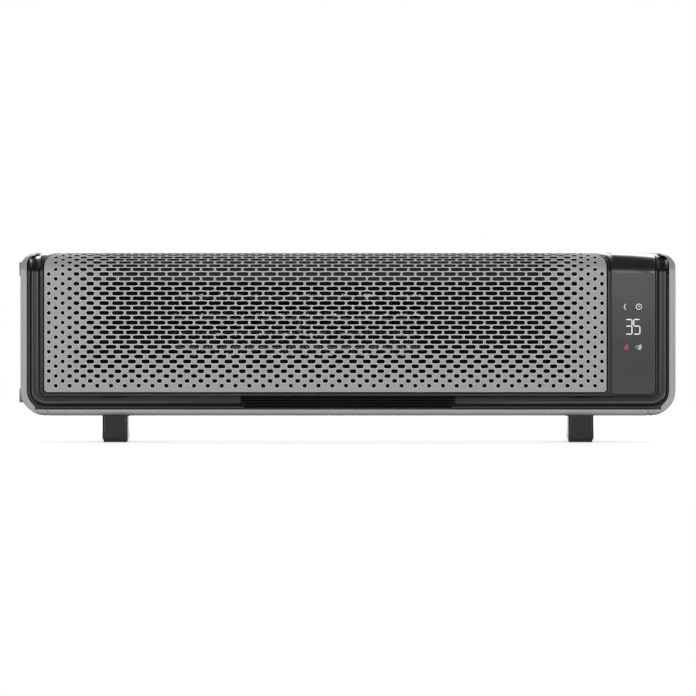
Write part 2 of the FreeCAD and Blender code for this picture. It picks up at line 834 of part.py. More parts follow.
def sheet_place(distance):
    """Point (y, z) on the sheet's outer face and its lean, at a distance up from the foot."""
    flat, bend, shoulder, crown, top = sheet_parts()
    turn = math.radians(number("bend_angle"))
    y, z, lean = number(FRONT), number(GRILLE_BOTTOM), 0.0
    for length, radius in ((flat, 0), (bend, number("bend_radius")), (shoulder, 0),
                           (crown, number("crown_radius")), (top, 0)):
        step = min(distance, length)
        swing = step / radius if radius else 0.0
        if radius:
            y += radius * (math.cos(lean) - math.cos(lean + swing))
            z += radius * (math.sin(lean + swing) - math.sin(lean))
        else:
            y += step * math.sin(lean)
            z += step * math.cos(lean)
        lean += swing
        distance -= step
    return y, z, lean


def flat_band(low, high, rows):
    """A level piece of the grille between two heights, with its rows of holes."""
    front, bottom = number(FRONT), number(GRILLE_BOTTOM)
    left, right = number(GRILLE_LEFT), number(GRILLE_RIGHT)
    corner = 0.0 if low else number("grille_corner")
    edge = rounded_path([
        (Vector(right, front, bottom + high), 0.0),
        (Vector(left, front, bottom + high), 0.0),
        (Vector(left, front, bottom + low), corner),
        (Vector(right, front, bottom + low), corner),
        (Vector(right, front, bottom + high), 0.0),
    ])
    holes = []
    for distance, row in rows:
        for x, length in row:
            wire = slot_wire(x, bottom + distance, length, number("hole_width"))
            wire.translate(Vector(0, front, 0))
            holes.append(wire if len(wire.Edges) == 1 else wire.reversed())
    face = Part.Face([edge] + holes)
    return face.extrude(Vector(0, number("grille_thickness"), 0))


def hole_tools(rows):
    """Punches for the rows on the bent top, square to the sheet."""
    tools = []
    for distance, row in rows:
        y, z, lean = sheet_place(distance)
        for x, length in row:
            punch = Part.Face(slot_wire(0, 0, length, number("hole_width"))).extrude(Vector(0, 6, 0))
            punch.translate(Vector(0, -3, 0))
            punch.rotate(Vector(0, 0, 0), Vector(1, 0, 0), -math.degrees(lean))
            punch.translate(Vector(x, y, z))
            tools.append(punch)
    return tools


def grille_shape():
    flat = sheet_parts()[0]
    rows = hole_rows()
    pitch = number("row_pitch")
    level = [row for row in rows if row[0] + pitch < flat]
    bent = rows[len(level):]
    edge = level[-1][0] + pitch / 2
    bands, low = [], 0.0
    for i in range(0, len(level), 4):
        group = level[i:i + 4]
        high = group[-1][0] + pitch / 2
        bands.append(flat_band(low, high, group))
        low = high
    sheet_top = front_band(
        "grille_top", "0", "grille_thickness", (GRILLE_LEFT, GRILLE_RIGHT),
        plus(GRILLE_BOTTOM, edge), GRILLE_END,
    )
    sheet_top.recompute(True)
    plan = prism("grille_plan", "z", grille_plan("0"), GRILLE_BOTTOM, plus(TOP, "1"))
    plan.recompute(True)
    upper = sheet_top.Shape.common(plan.Shape).cut(hole_tools(bent))
    return bands[0].fuse(bands[1:] + [upper])


grille = doc.addObject("Part::Feature", "grille")
grille.Shape = grille_shape()
keep("grille", grille)


# Control panel with the display behind it

def control_panel():
    sheet_solid = front_band(
        "panel_sheet", "0", "panel_thickness", (PANEL_LEFT, PANEL_RIGHT), PANEL_BOTTOM, GRILLE_END
    )
    view = prism(
        "panel_view", "y",
        [(PANEL_LEFT, PANEL_BOTTOM), (PANEL_RIGHT, PANEL_BOTTOM, "panel_corner"),
         (PANEL_RIGHT, plus(TOP, "1")), (PANEL_LEFT, plus(TOP, "1"))],
        minus(FRONT, "1"), plus(GRILLE_END, "1"),
    )
    return common("control_panel", sheet_solid, view)


DISPLAY_CENTRE = plus(PANEL_BOTTOM, "display_rise")
DISPLAY_X = (minus(middle(PANEL_LEFT, PANEL_RIGHT), "display_width / 2"),
             plus(middle(PANEL_LEFT, PANEL_RIGHT), "display_width / 2"))
DISPLAY_BOARD_FRONT = plus(BEZEL_BACK, "fit_gap")
keep("control_panel", control_panel())
keep("display_board", box(
    "display_board", (PANEL_LEFT, PANEL_RIGHT),
    (DISPLAY_BOARD_FRONT, plus(DISPLAY_BOARD_FRONT, "board_thickness")),
    (minus(DISPLAY_CENTRE, "display_board_height / 2"), plus(DISPLAY_CENTRE, "display_board_height / 2")),
))
keep("display_module", box(
    "display_module", DISPLAY_X, (minus(DISPLAY_BOARD_FRONT, "display_depth"), DISPLAY_BOARD_FRONT),
    (minus(DISPLAY_CENTRE, "display_height / 2"), plus(DISPLAY_CENTRE, "display_height / 2")),
))


# Baffle behind the grille

def baffle_panel():
    plate = box(
        "baffle_plate",
        (minus(plus(GRILLE_LEFT, "ledge_width"), "baffle_overlap"),
         plus(minus(GRILLE_RIGHT, "ledge_width"), "baffle_overlap")),
        (BAFFLE_FRONT, plus(BAFFLE_FRONT, "baffle_thickness")),
        (minus(plus(GRILLE_BOTTOM, "ledge_width"), "baffle_overlap"),
         minus(TOP, SHOULDER, "bezel_thickness")),
    )
    window = box(
        "outlet_window",
        (plus(OUTLET_LEFT, "holder_width"), minus(OUTLET_RIGHT, "holder_width")),
        (minus(BAFFLE_FRONT, "1"), plus(BAFFLE_FRONT, "baffle_thickness", "1")),
        (OUTLET_BOTTOM, OUTLET_TOP),
    )
    return cut("baffle_panel", plate, window)


keep("baffle_panel", baffle_panel())


# Heating element: rails, corrugated fins and end holders

ELEMENT = (ELEMENT_FRONT, ELEMENT_BACK)
RAIL_LEFT = plus(OUTLET_LEFT, "holder_width")
RAIL_RIGHT = minus(OUTLET_RIGHT, "holder_width")
RAIL_PITCH = "((outlet_height - rail_height) / 3)"


def rail_base(i):
    return plus(OUTLET_BOTTOM, "%d * %s" % (i, RAIL_PITCH))


def fin_shape(low, high):
    """A corrugated strip between two rails, with flat crests."""
    left, right = number(RAIL_LEFT), number(RAIL_RIGHT)
    thick = number("fin_thickness")
    count = int((right - left) / number("fin_pitch"))
    pitch = (right - left) / count
    upper, lower = [], []
    for i in range(count):
        x = left + i * pitch
        crest = [x + pitch * share for share in (0.10, 0.35, 0.60, 0.85)]
        upper += [(crest[0] - thick, high), (crest[1] + thick, high)]
        upper += [(crest[2] + thick, low + thick), (crest[3] - thick, low + thick)]
        lower += [(crest[0], high - thick), (crest[1], high - thick)]
        lower += [(crest[2], low), (crest[3], low)]
    outline = [Vector(x, number(ELEMENT_FRONT), z) for x, z in upper + lower[::-1]]
    face = Part.Face(Part.makePolygon(outline + outline[:1]))
    return face.extrude(Vector(0, number("element_depth"), 0))


for i in range(4):
    keep("element_rail_%d" % (i + 1), box(
        "element_rail_%d" % (i + 1), (RAIL_LEFT, RAIL_RIGHT), ELEMENT,
        (rail_base(i), plus(rail_base(i), "rail_height")),
    ))
for i in range(3):
    fins = doc.addObject("Part::Feature", "element_fins_%d" % (i + 1))
    fins.Shape = fin_shape(number(plus(rail_base(i), "rail_height")), number(rail_base(i + 1)))
    keep("element_fins_%d" % (i + 1), fins)
HOLDER_Z = (minus(OUTLET_BOTTOM, "holder_overlap"), plus(OUTLET_TOP, "holder_overlap"))
keep("holder_left", box("holder_left", (OUTLET_LEFT, RAIL_LEFT), ELEMENT, HOLDER_Z))
keep("holder_right", box("holder_right", (RAIL_RIGHT, OUTLET_RIGHT), ELEMENT, HOLDER_Z))


# Blower: scroll, tongue and end plates

BLOWER_X = (OUTLET_LEFT, OUTLET_RIGHT)
AXIS = (
    minus(REAR_INSIDE, "intake_space", "fan_radius", "scroll_gap", "duct_wall"),
    plus(BOTTOM, "fan_rise"),
)


def blower_scroll():
    inner = "fan_radius + scroll_gap"
    outer = inner + " + duct_wall"
    start = (OUTLET_LEFT, AXIS[0], AXIS[1])
    ring = cut(
        "scroll_ring", rod("scroll_outer", "x", start, outer, "outlet_length"),
        rod("scroll_inner", "x", start, inner, "outlet_length"),
    )
    quarter = box(
        "scroll_region", BLOWER_X, (AXIS[0], plus(AXIS[0], outer)),
        (minus(AXIS[1], outer), plus(AXIS[1], "fan_radius * 0.7")),
    )
    floor = box(
        "scroll_floor", BLOWER_X, (DUCT_FRONT, AXIS[0]), (minus(OUTLET_BOTTOM, "duct_wall"), OUTLET_BOTTOM)
    )
    return join("blower_scroll", common("scroll_arc", ring, quarter), floor)


def blower_tongue():
    roof = box("tongue_roof", BLOWER_X, (DUCT_FRONT, AXIS[0]), (OUTLET_TOP, plus(OUTLET_TOP, "duct_wall")))
    lip = box(
        "tongue_lip", BLOWER_X, (minus(AXIS[0], "duct_wall"), AXIS[0]),
        (minus(OUTLET_TOP, "tongue_lip"), OUTLET_TOP),
    )
    return join("blower_tongue", roof, lip)


def blower_end(name, x, hole):
    plate = box(
        name + "_plate", x, (ELEMENT_FRONT, minus(REAR_INSIDE, "fit_gap")), HOLDER_Z
    )
    bore = rod(name + "_bore", "x", (minus(x[0], "1"), AXIS[0], AXIS[1]), hole, "end_plate + 2")
    return cut(name, plate, bore)


PLATE_LEFT = (minus(OUTLET_LEFT, "end_plate"), OUTLET_LEFT)
PLATE_RIGHT = (OUTLET_RIGHT, plus(OUTLET_RIGHT, "end_plate"))
keep("blower_scroll", blower_scroll())
keep("blower_tongue", blower_tongue())
keep("blower_end_left", blower_end("blower_end_left", PLATE_LEFT, "shaft_hole"))
keep("blower_end_right", blower_end("blower_end_right", PLATE_RIGHT, "rubber_radius + fit_gap"))


# Impeller, shaft, motor and bearing, all on one axis

FAN_LEFT = plus(OUTLET_LEFT, "fan_end_gap")
FAN_LENGTH = "(outlet_length - 2 * fan_end_gap)"
MOTOR_LEFT = minus(PLATE_LEFT[0], "motor_length")
BUSH_LEFT = minus(middle(*PLATE_RIGHT), "bush_length / 2")
SHAFT_LEFT = minus(MOTOR_LEFT, "shaft_end")


def impeller():
    body = new_body("impeller", FAN_LEFT, *AXIS)
    disc = new_sketch(body, "disc_outline", "YZ_Plane")
    draw_circle(disc, "0", "0", "fan_radius")
    draw_circle(disc, "0", "0", "shaft_radius + press_gap")
    disc_pad = new_pad(body, disc, "disc", "disc_thickness")
    discs = body.newObject("PartDesign::LinearPattern", "discs")
    discs.Originals = [disc_pad]
    discs.Direction = (disc, ["N_Axis"])
    link(discs, "Length", minus(FAN_LENGTH, "disc_thickness"))
    discs.Occurrences = 3
    body.Tip = discs
    blade = new_sketch(body, "blade_outline", "YZ_Plane")
    tip, root = "fan_radius - blade_thickness", "fan_radius - blade_depth"
    draw_outline(blade, [
        ("-blade_thickness / 2 + blade_depth / 4", root),
        ("blade_thickness / 2 + blade_depth / 4", root),
        ("blade_thickness / 2", tip),
        ("-blade_thickness / 2", tip),
    ])
    blade_pad = new_pad(body, blade, "blade", FAN_LENGTH)
    blades = body.newObject("PartDesign::PolarPattern", "blades")
    blades.Originals = [blade_pad]
    blades.Axis = (blade, ["N_Axis"])
    blades.Angle = 360
    blades.Occurrences = 24
    body.Tip = blades
    return body


def motor_can():
    inner = "motor_radius - motor_wall"
    bore = "shaft_radius + running_gap"
    body = turned("motor_can", MOTOR_LEFT, AXIS[0], AXIS[1], [
        (bore, "0"),
        ("motor_radius", "0", "motor_wall"),
        ("motor_radius", "motor_length"),
        (inner, "motor_length"),
        (inner, "motor_wall"),
        ("shaft_hole", "motor_wall"),
        ("shaft_hole", "motor_end"),
        (bore, "motor_end"),
    ])
    body.Placement.Rotation = ROD_TURNS["x"]
    return body


def ring(name, start, outer, inner, length):
    body = new_body(name, start, *AXIS)
    sketch = new_sketch(body, name + "_outline", "YZ_Plane")
    draw_circle(sketch, "0", "0", outer)
    draw_circle(sketch, "0", "0", inner)
    new_pad(body, sketch, name + "_pad", length)
    return body


STATOR_LEFT = minus(middle(MOTOR_LEFT, PLATE_LEFT[0]), "stator_length / 2")
keep("impeller", impeller())
keep("fan_shaft", rod(
    "fan_shaft", "x", (SHAFT_LEFT, *AXIS), "shaft_radius",
    minus(plus(BUSH_LEFT, "bush_length", "shaft_end"), SHAFT_LEFT),
))
keep("motor_can", motor_can())
keep("motor_stator", ring("motor_stator", STATOR_LEFT, "motor_radius - motor_wall - fit_gap",
                          "stator_bore", "stator_length"))
keep("motor_rotor", ring("motor_rotor", STATOR_LEFT, "stator_bore - air_gap",
                         "shaft_radius + press_gap", "stator_length"))
keep("bearing_bush", ring("bearing_bush", BUSH_LEFT, "bush_radius", "shaft_radius + running_gap",
                          "bush_length"))
keep("bush_rubber", ring("bush_rubber", BUSH_LEFT, "rubber_radius", "bush_radius + fit_gap",
                         "bush_length"))


# Rear housing with the intake, its cover and its filter

OUTLET_CENTRE = middle(OUTLET_LEFT, OUTLET_RIGHT)
INTAKE_X = (minus(OUTLET_CENTRE, "intake_length / 2"), plus(OUTLET_CENTRE, "intake_length / 2"))
INTAKE_Z = (plus(BOTTOM, "intake_rise"), plus(BOTTOM, "intake_rise", "intake_height"))
COVER_BACK = BACK
COVER_FRONT = minus(BACK, "cover_thickness")
SWITCH_CENTRE = minus(RIGHT, "switch_inset")
SWITCH_X = (minus(SWITCH_CENTRE, "switch_width / 2"), plus(SWITCH_CENTRE, "switch_width / 2"))
SWITCH_Z = (plus(BOTTOM, "switch_rise"), plus(BOTTOM, "switch_rise", "switch_height"))
BOARD_X = (minus(RIGHT, "board_inset", "board_length"), minus(RIGHT, "board_inset"))
BOARD_Z = (plus(BOTTOM, "board_rise"), plus(BOTTOM, "board_rise", "board_height"))
BOARD_BACK = minus(REAR_INSIDE, "boss_length")
BOARD_FRONT = minus(BOARD_BACK, "board_thickness")
GLAND_X = minus(RIGHT, "gland_inset")
GLAND_Z = plus(BOTTOM, "gland_rise")


def grown(span, amount):
    return minus(span[0], amount), plus(span[1], amount)


def rounded_rectangle(x, z, radius):
    return [(a, b, radius) for a, b in rectangle(x, z)]


def rear_housing():
    wall = prism("rear_plate", "y", front_outline("0"), REAR_INSIDE, BACK)
    skirt_front = plus(BELT_BACK, "seam_gap")
    skirt = cut(
        "rear_skirt_ring", prism("rear_skirt_outer", "y", front_outline("0"), skirt_front, BACK),
        prism("rear_skirt_inner", "y", front_outline("wall"), minus(skirt_front, "1"), REAR_INSIDE),
    )
    flange_front = minus(REAR_INSIDE, "flange_length")
    flange_outer, flange_inner = plus("wall", "fit_gap"), plus("wall", "fit_gap", "rear_flange")
    flange = cut(
        "rear_flange_ring",
        prism("rear_flange_outer", "y", front_outline(flange_outer), flange_front, BACK),
        prism("rear_flange_inner", "y", front_outline(flange_inner), minus(flange_front, "1"), REAR_INSIDE),
    )
    bridge = cut(
        "rear_bridge_ring",
        prism("rear_bridge_outer", "y", front_outline("wall / 2"), skirt_front, BACK),
        prism("rear_bridge_inner", "y", front_outline(flange_inner), minus(skirt_front, "1"), REAR_INSIDE),
    )
    bosses, holes = [], []
    for side, x in POST_X.items():
        for level, z in POST_Z.items():
            part = "rear_boss_%s_%s" % (side, level)
            bosses.append(rod(part, "y", (x, flange_front, z), "post_radius",
                              "flange_length + rear_wall / 2"))
            holes.append(rod(part + "_hole", "y", (x, minus(flange_front, "1"), z), "screw_hole",
                             "flange_length + rear_wall + 2"))
            holes.append(rod(part + "_recess", "y", (x, minus(REAR_INSIDE, "1"), z), "screw_head + fit_gap",
                             "rear_wall + 2"))
    for i, x in enumerate(grown(BOARD_X, "-boss_inset")):
        for j, z in enumerate(grown(BOARD_Z, "-boss_inset")):
            bosses.append(rod("board_boss_%d%d" % (i, j), "y", (x, BOARD_BACK, z), "boss_radius",
                              minus(BACK, "rear_wall / 2", BOARD_BACK)))
    outer = grown(INTAKE_X, "fit_gap"), grown(INTAKE_Z, "fit_gap")
    rabbet = prism("intake_rabbet", "y", rounded_rectangle(*outer, "cover_corner"),
                   minus(COVER_FRONT, "0.1"), plus(BACK, "1"))
    inner = grown(INTAKE_X, "-intake_ledge"), grown(INTAKE_Z, "-intake_ledge")
    hollow = prism("intake_hollow", "y", rectangle(*inner), minus(REAR_INSIDE, "1"), plus(BACK, "1"))
    switch_hole = box("switch_hole", grown(SWITCH_X, "fit_gap"), (minus(REAR_INSIDE, "1"), plus(BACK, "1")),
                      grown(SWITCH_Z, "fit_gap"))
    gland_hole = rod("gland_hole", "y", (GLAND_X, minus(REAR_INSIDE, "1"), GLAND_Z),
                     "gland_neck + fit_gap", "rear_wall + 2")
    solid = join("rear_solid", wall, skirt, bridge, flange, *bosses)
    return cut("rear_housing", solid, rabbet, hollow, switch_hole, gland_hole, *holes)


def intake_cover():
    """The lift-off cover, louvred, with a finger notch in its top edge."""
    body = new_body("intake_cover", "0", COVER_BACK, "0")
    sketch = new_sketch(body, "cover_outline", "XZ_Plane")
    draw_outline(sketch, rounded_rectangle(INTAKE_X, INTAKE_Z, "cover_corner"))
    new_pad(body, sketch, "cover_plate", "cover_thickness")
    doc.recompute()
    columns, rows = int(number("slot_columns")), int(number("slot_rows"))
    slot_span = "((intake_length - 2 * intake_ledge - slot_margin) / slot_columns)"
    pitch = "((intake_height - 2 * intake_ledge - 2 * slot_width) / (slot_rows - 1))"
    low = plus(INTAKE_Z[0], "intake_ledge", "slot_width / 2")
    slots = new_sketch(body, "slot_outline", "XZ_Plane")
    for i in range(columns):
        start = plus(INTAKE_X[0], "intake_ledge", "slot_margin", "%d * %s" % (i, slot_span))
        across = (start, plus(start, slot_span, "-slot_margin"))
        draw_outline(slots, rectangle(across, (low, plus(low, "slot_width"))))
    pocket = body.newObject("PartDesign::Pocket", "slot_row")
    pocket.Profile = slots
    pocket.Type = "ThroughAll"
    pocket.Midplane = True
    pattern = body.newObject("PartDesign::LinearPattern", "slot_field")
    pattern.Originals = [pocket]
    pattern.Direction = (slots, ["V_Axis"])
    link(pattern, "Length", pitch + " * (slot_rows - 1)")
    pattern.Occurrences = rows
    body.Tip = pattern
    notch = new_sketch(body, "grip_outline", "XZ_Plane")
    draw_circle(notch, OUTLET_CENTRE, plus(INTAKE_Z[1], "grip_radius / 2"), "grip_radius")
    grip = body.newObject("PartDesign::Pocket", "grip_notch")
    grip.Profile = notch
    grip.Type = "ThroughAll"
    grip.Midplane = True
    return body


def filter_shape():
    """A woven screen as a square grid of openings in a thin sheet."""
    gap = number("fit_gap")
    left, right = [number(side) for side in grown(INTAKE_X, "-intake_ledge")]
    low, high = [number(side) for side in grown(INTAKE_Z, "-intake_ledge")]
    left, right, low, high = left + gap, right - gap, low + gap, high - gap
    front = number(minus(COVER_FRONT, "filter_thickness"))
    wire = number("filter_wire")
    columns = int((right - left - wire) / number("filter_pitch"))
    rows = int((high - low - wire) / number("filter_pitch"))
    across, up = (right - left - wire) / columns, (high - low - wire) / rows

    def frame(x0, x1, z0, z1):
        corners = ((x0, z0), (x1, z0), (x1, z1), (x0, z1), (x0, z0))
        return Part.makePolygon([Vector(x, front, z) for x, z in corners])

    holes = []
    for i in range(columns):
        for j in range(rows):
            x, z = left + wire + i * across, low + wire + j * up
            holes.append(frame(x, x + across - wire, z, z + up - wire).reversed())
    face = Part.Face([frame(left, right, low, high)] + holes)
    return face.extrude(Vector(0, number("filter_thickness"), 0))


keep("rear_housing", rear_housing())
keep("intake_cover", intake_cover())
filter_mesh = doc.addObject("Part::Feature", "filter_mesh")
filter_mesh.Shape = filter_shape()
keep("filter_mesh", filter_mesh)


# Power board and what sits on it

def on_board(name, x, z, width, height, depth):
    """A block on the front of the power board, from its lower left corner."""
    low_x, low_z = plus(BOARD_X[0], x), plus(BOARD_Z[0], z)
    return keep(name, box(
        name, (low_x, plus(low_x, width)), (minus(BOARD_FRONT, depth), BOARD_FRONT),
        (low_z, plus(low_z, height)),
    ))


keep("power_board", box("power_board", BOARD_X, (BOARD_FRONT, BOARD_BACK), BOARD_Z))
on_board("relay_left", "boss_inset * 2", "boss_inset * 2", "relay_length", "relay_width", "relay_height")
on_board("relay_right", "boss_inset * 2 + relay_length * 1.5", "boss_inset * 2", "relay_length",
         "relay_width", "relay_height")
on_board("terminal_block", "boss_inset * 2", minus("board_height", "boss_inset * 3"), "terminal_length",
         "terminal_height", "terminal_height")
on_board("tilt_switch", minus("board_length", "boss_inset * 2", "tilt_size"), "boss_inset * 2",
         "tilt_size", "tilt_size", "tilt_size")
keep("capacitor", rod(
    "capacitor", "y",
    (minus(BOARD_X[1], "board_length / 4"), minus(BOARD_FRONT, "capacitor_height"),
     plus(middle(*BOARD_Z), "boss_inset")),
    "capacitor_radius", "capacitor_height",
))
keep("thermal_cutout", rod(
    "thermal_cutout", "z",
    (minus(OUTLET_RIGHT, "holder_width", "cutout_radius"), middle(DUCT_FRONT, AXIS[0]),
     plus(OUTLET_TOP, "duct_wall")),
    "cutout_radius", "cutout_height",
))


# Rear power switch

PIVOT_Y = minus(BACK, "rocker_radius - flange_proud")
PIVOT_Z = middle(*SWITCH_Z)
ROCKER_X = grown(SWITCH_X, "-2 * rocker_play")


def switch_body():
    depth = (minus(BACK, "switch_depth"), plus(BACK, "flange_proud"))
    block = box("switch_block", SWITCH_X, depth, SWITCH_Z)
    flange = box("switch_rim", grown(SWITCH_X, "switch_flange"), (BACK, plus(BACK, "flange_proud")),
                 grown(SWITCH_Z, "switch_flange"))
    hollow = box(
        "switch_hollow", grown(ROCKER_X, "fit_gap"),
        (minus(PIVOT_Y, "rocker_radius + rocker_play"), plus(BACK, "flange_proud + 1")),
        (minus(PIVOT_Z, "rocker_radius + rocker_play"), plus(PIVOT_Z, "rocker_radius + rocker_play")),
    )
    return cut("switch_body", join("switch_solid", block, flange), hollow)


def switch_rocker():
    body = new_body("switch_rocker", ROCKER_X[0], PIVOT_Y, PIVOT_Z)
    barrel = new_sketch(body, "rocker_barrel", "YZ_Plane")
    draw_circle(barrel, "0", "0", "rocker_radius")
    length = minus(ROCKER_X[1], ROCKER_X[0])
    new_pad(body, barrel, "rocker_round", length)
    doc.recompute()
    face = new_sketch(body, "rocker_face", "YZ_Plane")
    proud = "rocker_radius + rocker_proud"
    draw_outline(face, [
        ("0", "-rocker_radius"),
        (proud, "-rocker_radius"),
        ("rocker_radius + rocker_proud / 2", "0"),
        (proud, "rocker_radius"),
        ("0", "rocker_radius"),
    ])
    new_pad(body, face, "rocker_top", length)
    body.Placement.Rotation = Rotation(Vector(1, 0, 0), -number("rocker_angle"))
    return body


keep("switch_body", switch_body())
keep("switch_rocker", switch_rocker())


# Cord gland

def cord_gland():
    wall = plus("rear_wall", "2 * fit_gap")
    inside = "gland_flange / 3"
    body = turned("cord_gland", GLAND_X, minus(REAR_INSIDE, "fit_gap", inside), GLAND_Z, [
        ("gland_bore", "0"),
        ("gland_flange", "0"),
        ("gland_flange", inside),
        ("gland_neck", inside),
        ("gland_neck", plus(inside, wall)),
        ("gland_flange", plus(inside, wall)),
        ("gland_flange", plus(inside, wall, inside)),
        ("gland_neck", "gland_length"),
        ("gland_bore", "gland_length"),
    ])
    body.Placement.Rotation = ROD_TURNS["y"]
    return body


keep("cord_gland", cord_gland())


# Feet with soles and screws, and the pads on the left end

def foot(side):
    name = "foot_" + side
    half, corner = "foot_width / 2", "foot_corner"
    body = new_body(name, FOOT_CENTRES[side], "foot_depth / 2", "0")
    sketch = new_sketch(body, name + "_outline", "XZ_Plane")
    draw_outline(sketch, [
        ("-" + half, "sole_thickness", corner),
        (half, "sole_thickness", corner),
        (half, BOTTOM),
        ("-" + half, BOTTOM),
    ])
    pad = new_pad(body, sketch, name + "_bar", "foot_depth")
    doc.recompute()
    upright = [
        "Edge%d" % (i + 1) for i, edge in enumerate(pad.Shape.Edges)
        if abs(edge.Vertexes[0].Z - edge.Vertexes[-1].Z) > number("foot_height") / 2
        and abs(edge.Vertexes[0].X - edge.Vertexes[-1].X) < 0.01
    ]
    rounding = body.newObject("PartDesign::Fillet", name + "_rounding")
    rounding.Base = (pad, upright)
    link(rounding, "Radius", corner)
    doc.recompute()
    holes = new_sketch(body, name + "_holes", "XY_Plane")
    recesses = new_sketch(body, name + "_recesses", "XY_Plane")
    for y in SCREW_LINES.values():
        draw_circle(holes, "0", minus(y, "foot_depth / 2"), "screw_hole")
        draw_circle(recesses, "0", minus(y, "foot_depth / 2"), "screw_head + fit_gap")
    for label, outline, depth in (("hole", holes, "foot_height + 1"),
                                  ("recess", recesses, "sole_thickness + head_recess")):
        pocket = body.newObject("PartDesign::Pocket", "%s_%s" % (name, label))
        pocket.Profile = outline
        pocket.Reversed = True
        link(pocket, "Length", depth)
    return body


def sole(side):
    name = "sole_" + side
    half = minus("foot_width / 2", "sole_inset")
    reach = minus("foot_depth / 2", "sole_inset")
    x = (minus(FOOT_CENTRES[side], half), plus(FOOT_CENTRES[side], half))
    corners = [(a, b, "foot_corner") for a, b in rectangle(x, ("-" + reach, reach))]
    return prism(name, "z", corners, "0", "sole_thickness")


def screw(name, x, y, z, length):
    return turned(name, x, y, z, [
        ("0", "0"),
        ("screw_head", "0"),
        ("screw_head", "head_height"),
        ("screw_radius", "head_height"),
        ("screw_radius", plus("head_height", length)),
        ("0", plus("head_height", length)),
    ])


for side in FOOT_CENTRES:
    keep("foot_" + side, foot(side))
    keep("sole_" + side, sole(side))
    for line, y in SCREW_LINES.items():
        name = "foot_screw_%s_%s" % (side, line)
        seat = "(sole_thickness + head_recess)"
        length = minus(plus(BOTTOM, "wall", "screw_reach"), seat)
        keep(name, screw(name, FOOT_CENTRES[side], y, minus(seat, "head_height"), length))

pad_body = prism("pad_body", "y", front_outline("-fit_gap"), minus(FRONT, "1"), plus(BACK, "1"))
PAD_CENTRES = {"upper": minus(TOP, "pad_drop"), "lower": plus(BOTTOM, "pad_rise")}
for level, centre in PAD_CENTRES.items():
    name = "end_pad_" + level
    block = box(
        name + "_block", (minus(LEFT, "pad_proud"), plus(LEFT, "pad_height / 2")),
        ("-pad_depth / 2", "pad_depth / 2"),
        (minus(centre, "pad_height / 2"), plus(centre, "pad_height / 2")),
    )
    keep(name, cut(name, block, pad_body))

# Rear screws

for side, x in POST_X.items():
    for level, z in POST_Z.items():
        name = "rear_screw_%s_%s" % (side, level)
        seat = minus(REAR_INSIDE, "1")
        fixing = screw(name, x, plus(seat, "head_height"), z, "flange_length + post_length / 2")
        fixing.Placement.Rotation = Rotation(Vector(1, 0, 0), 90)
        keep(name, fixing)


# Checks and files

doc.recompute()
for item in doc.Objects:
    if "Invalid" in item.State or "Error" in item.State:
        raise RuntimeError("%s did not build: %s" % (item.Name, item.State))
for name, solid in nodes:
    if solid.Shape.isNull() or not solid.Shape.isValid():
        raise RuntimeError("%s has no valid shape" % name)
os.makedirs("parts", exist_ok=True)
for name, solid in nodes:
    solid.Shape.exportStep("parts/%s.step" % name)
print("%d pieces written" % len(nodes))
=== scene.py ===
"""A long, low fan heater: silver surround, dark bezel, perforated grille and a lit touch panel."""

import json
import math

import bmesh
import bpy
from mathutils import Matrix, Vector
from mathutils.geometry import delaunay_2d_cdt


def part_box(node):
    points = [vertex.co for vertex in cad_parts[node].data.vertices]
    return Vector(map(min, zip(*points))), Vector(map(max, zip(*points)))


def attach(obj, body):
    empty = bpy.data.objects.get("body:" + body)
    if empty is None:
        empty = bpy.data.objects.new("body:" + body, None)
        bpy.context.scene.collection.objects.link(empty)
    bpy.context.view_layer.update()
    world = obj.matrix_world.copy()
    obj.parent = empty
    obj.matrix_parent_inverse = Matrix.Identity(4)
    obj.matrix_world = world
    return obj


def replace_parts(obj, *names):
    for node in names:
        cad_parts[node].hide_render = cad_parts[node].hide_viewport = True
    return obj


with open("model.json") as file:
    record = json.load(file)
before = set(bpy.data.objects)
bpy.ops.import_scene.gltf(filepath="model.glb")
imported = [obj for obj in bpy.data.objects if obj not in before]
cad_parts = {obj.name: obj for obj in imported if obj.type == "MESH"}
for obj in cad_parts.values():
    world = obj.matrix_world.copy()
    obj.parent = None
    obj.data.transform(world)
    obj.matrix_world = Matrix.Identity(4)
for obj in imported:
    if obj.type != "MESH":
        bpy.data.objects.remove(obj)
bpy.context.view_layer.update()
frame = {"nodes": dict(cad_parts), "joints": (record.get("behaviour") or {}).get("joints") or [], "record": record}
nodes = frame["nodes"]
scene = bpy.context.scene
scene.view_settings.view_transform = "Standard"

MM = 0.001


# Colours and node trees

def tone(level, warm=0.0):
    """A grey as a linear colour, from its brightness on a 0 to 255 screen; warm tints it slightly."""
    parts = []
    for shift in (warm, 0.0, -warm):
        share = (level + shift) / 255
        parts.append(share / 12.92 if share < 0.04045 else ((share + 0.055) / 1.055) ** 2.4)
    return (*parts, 1.0)


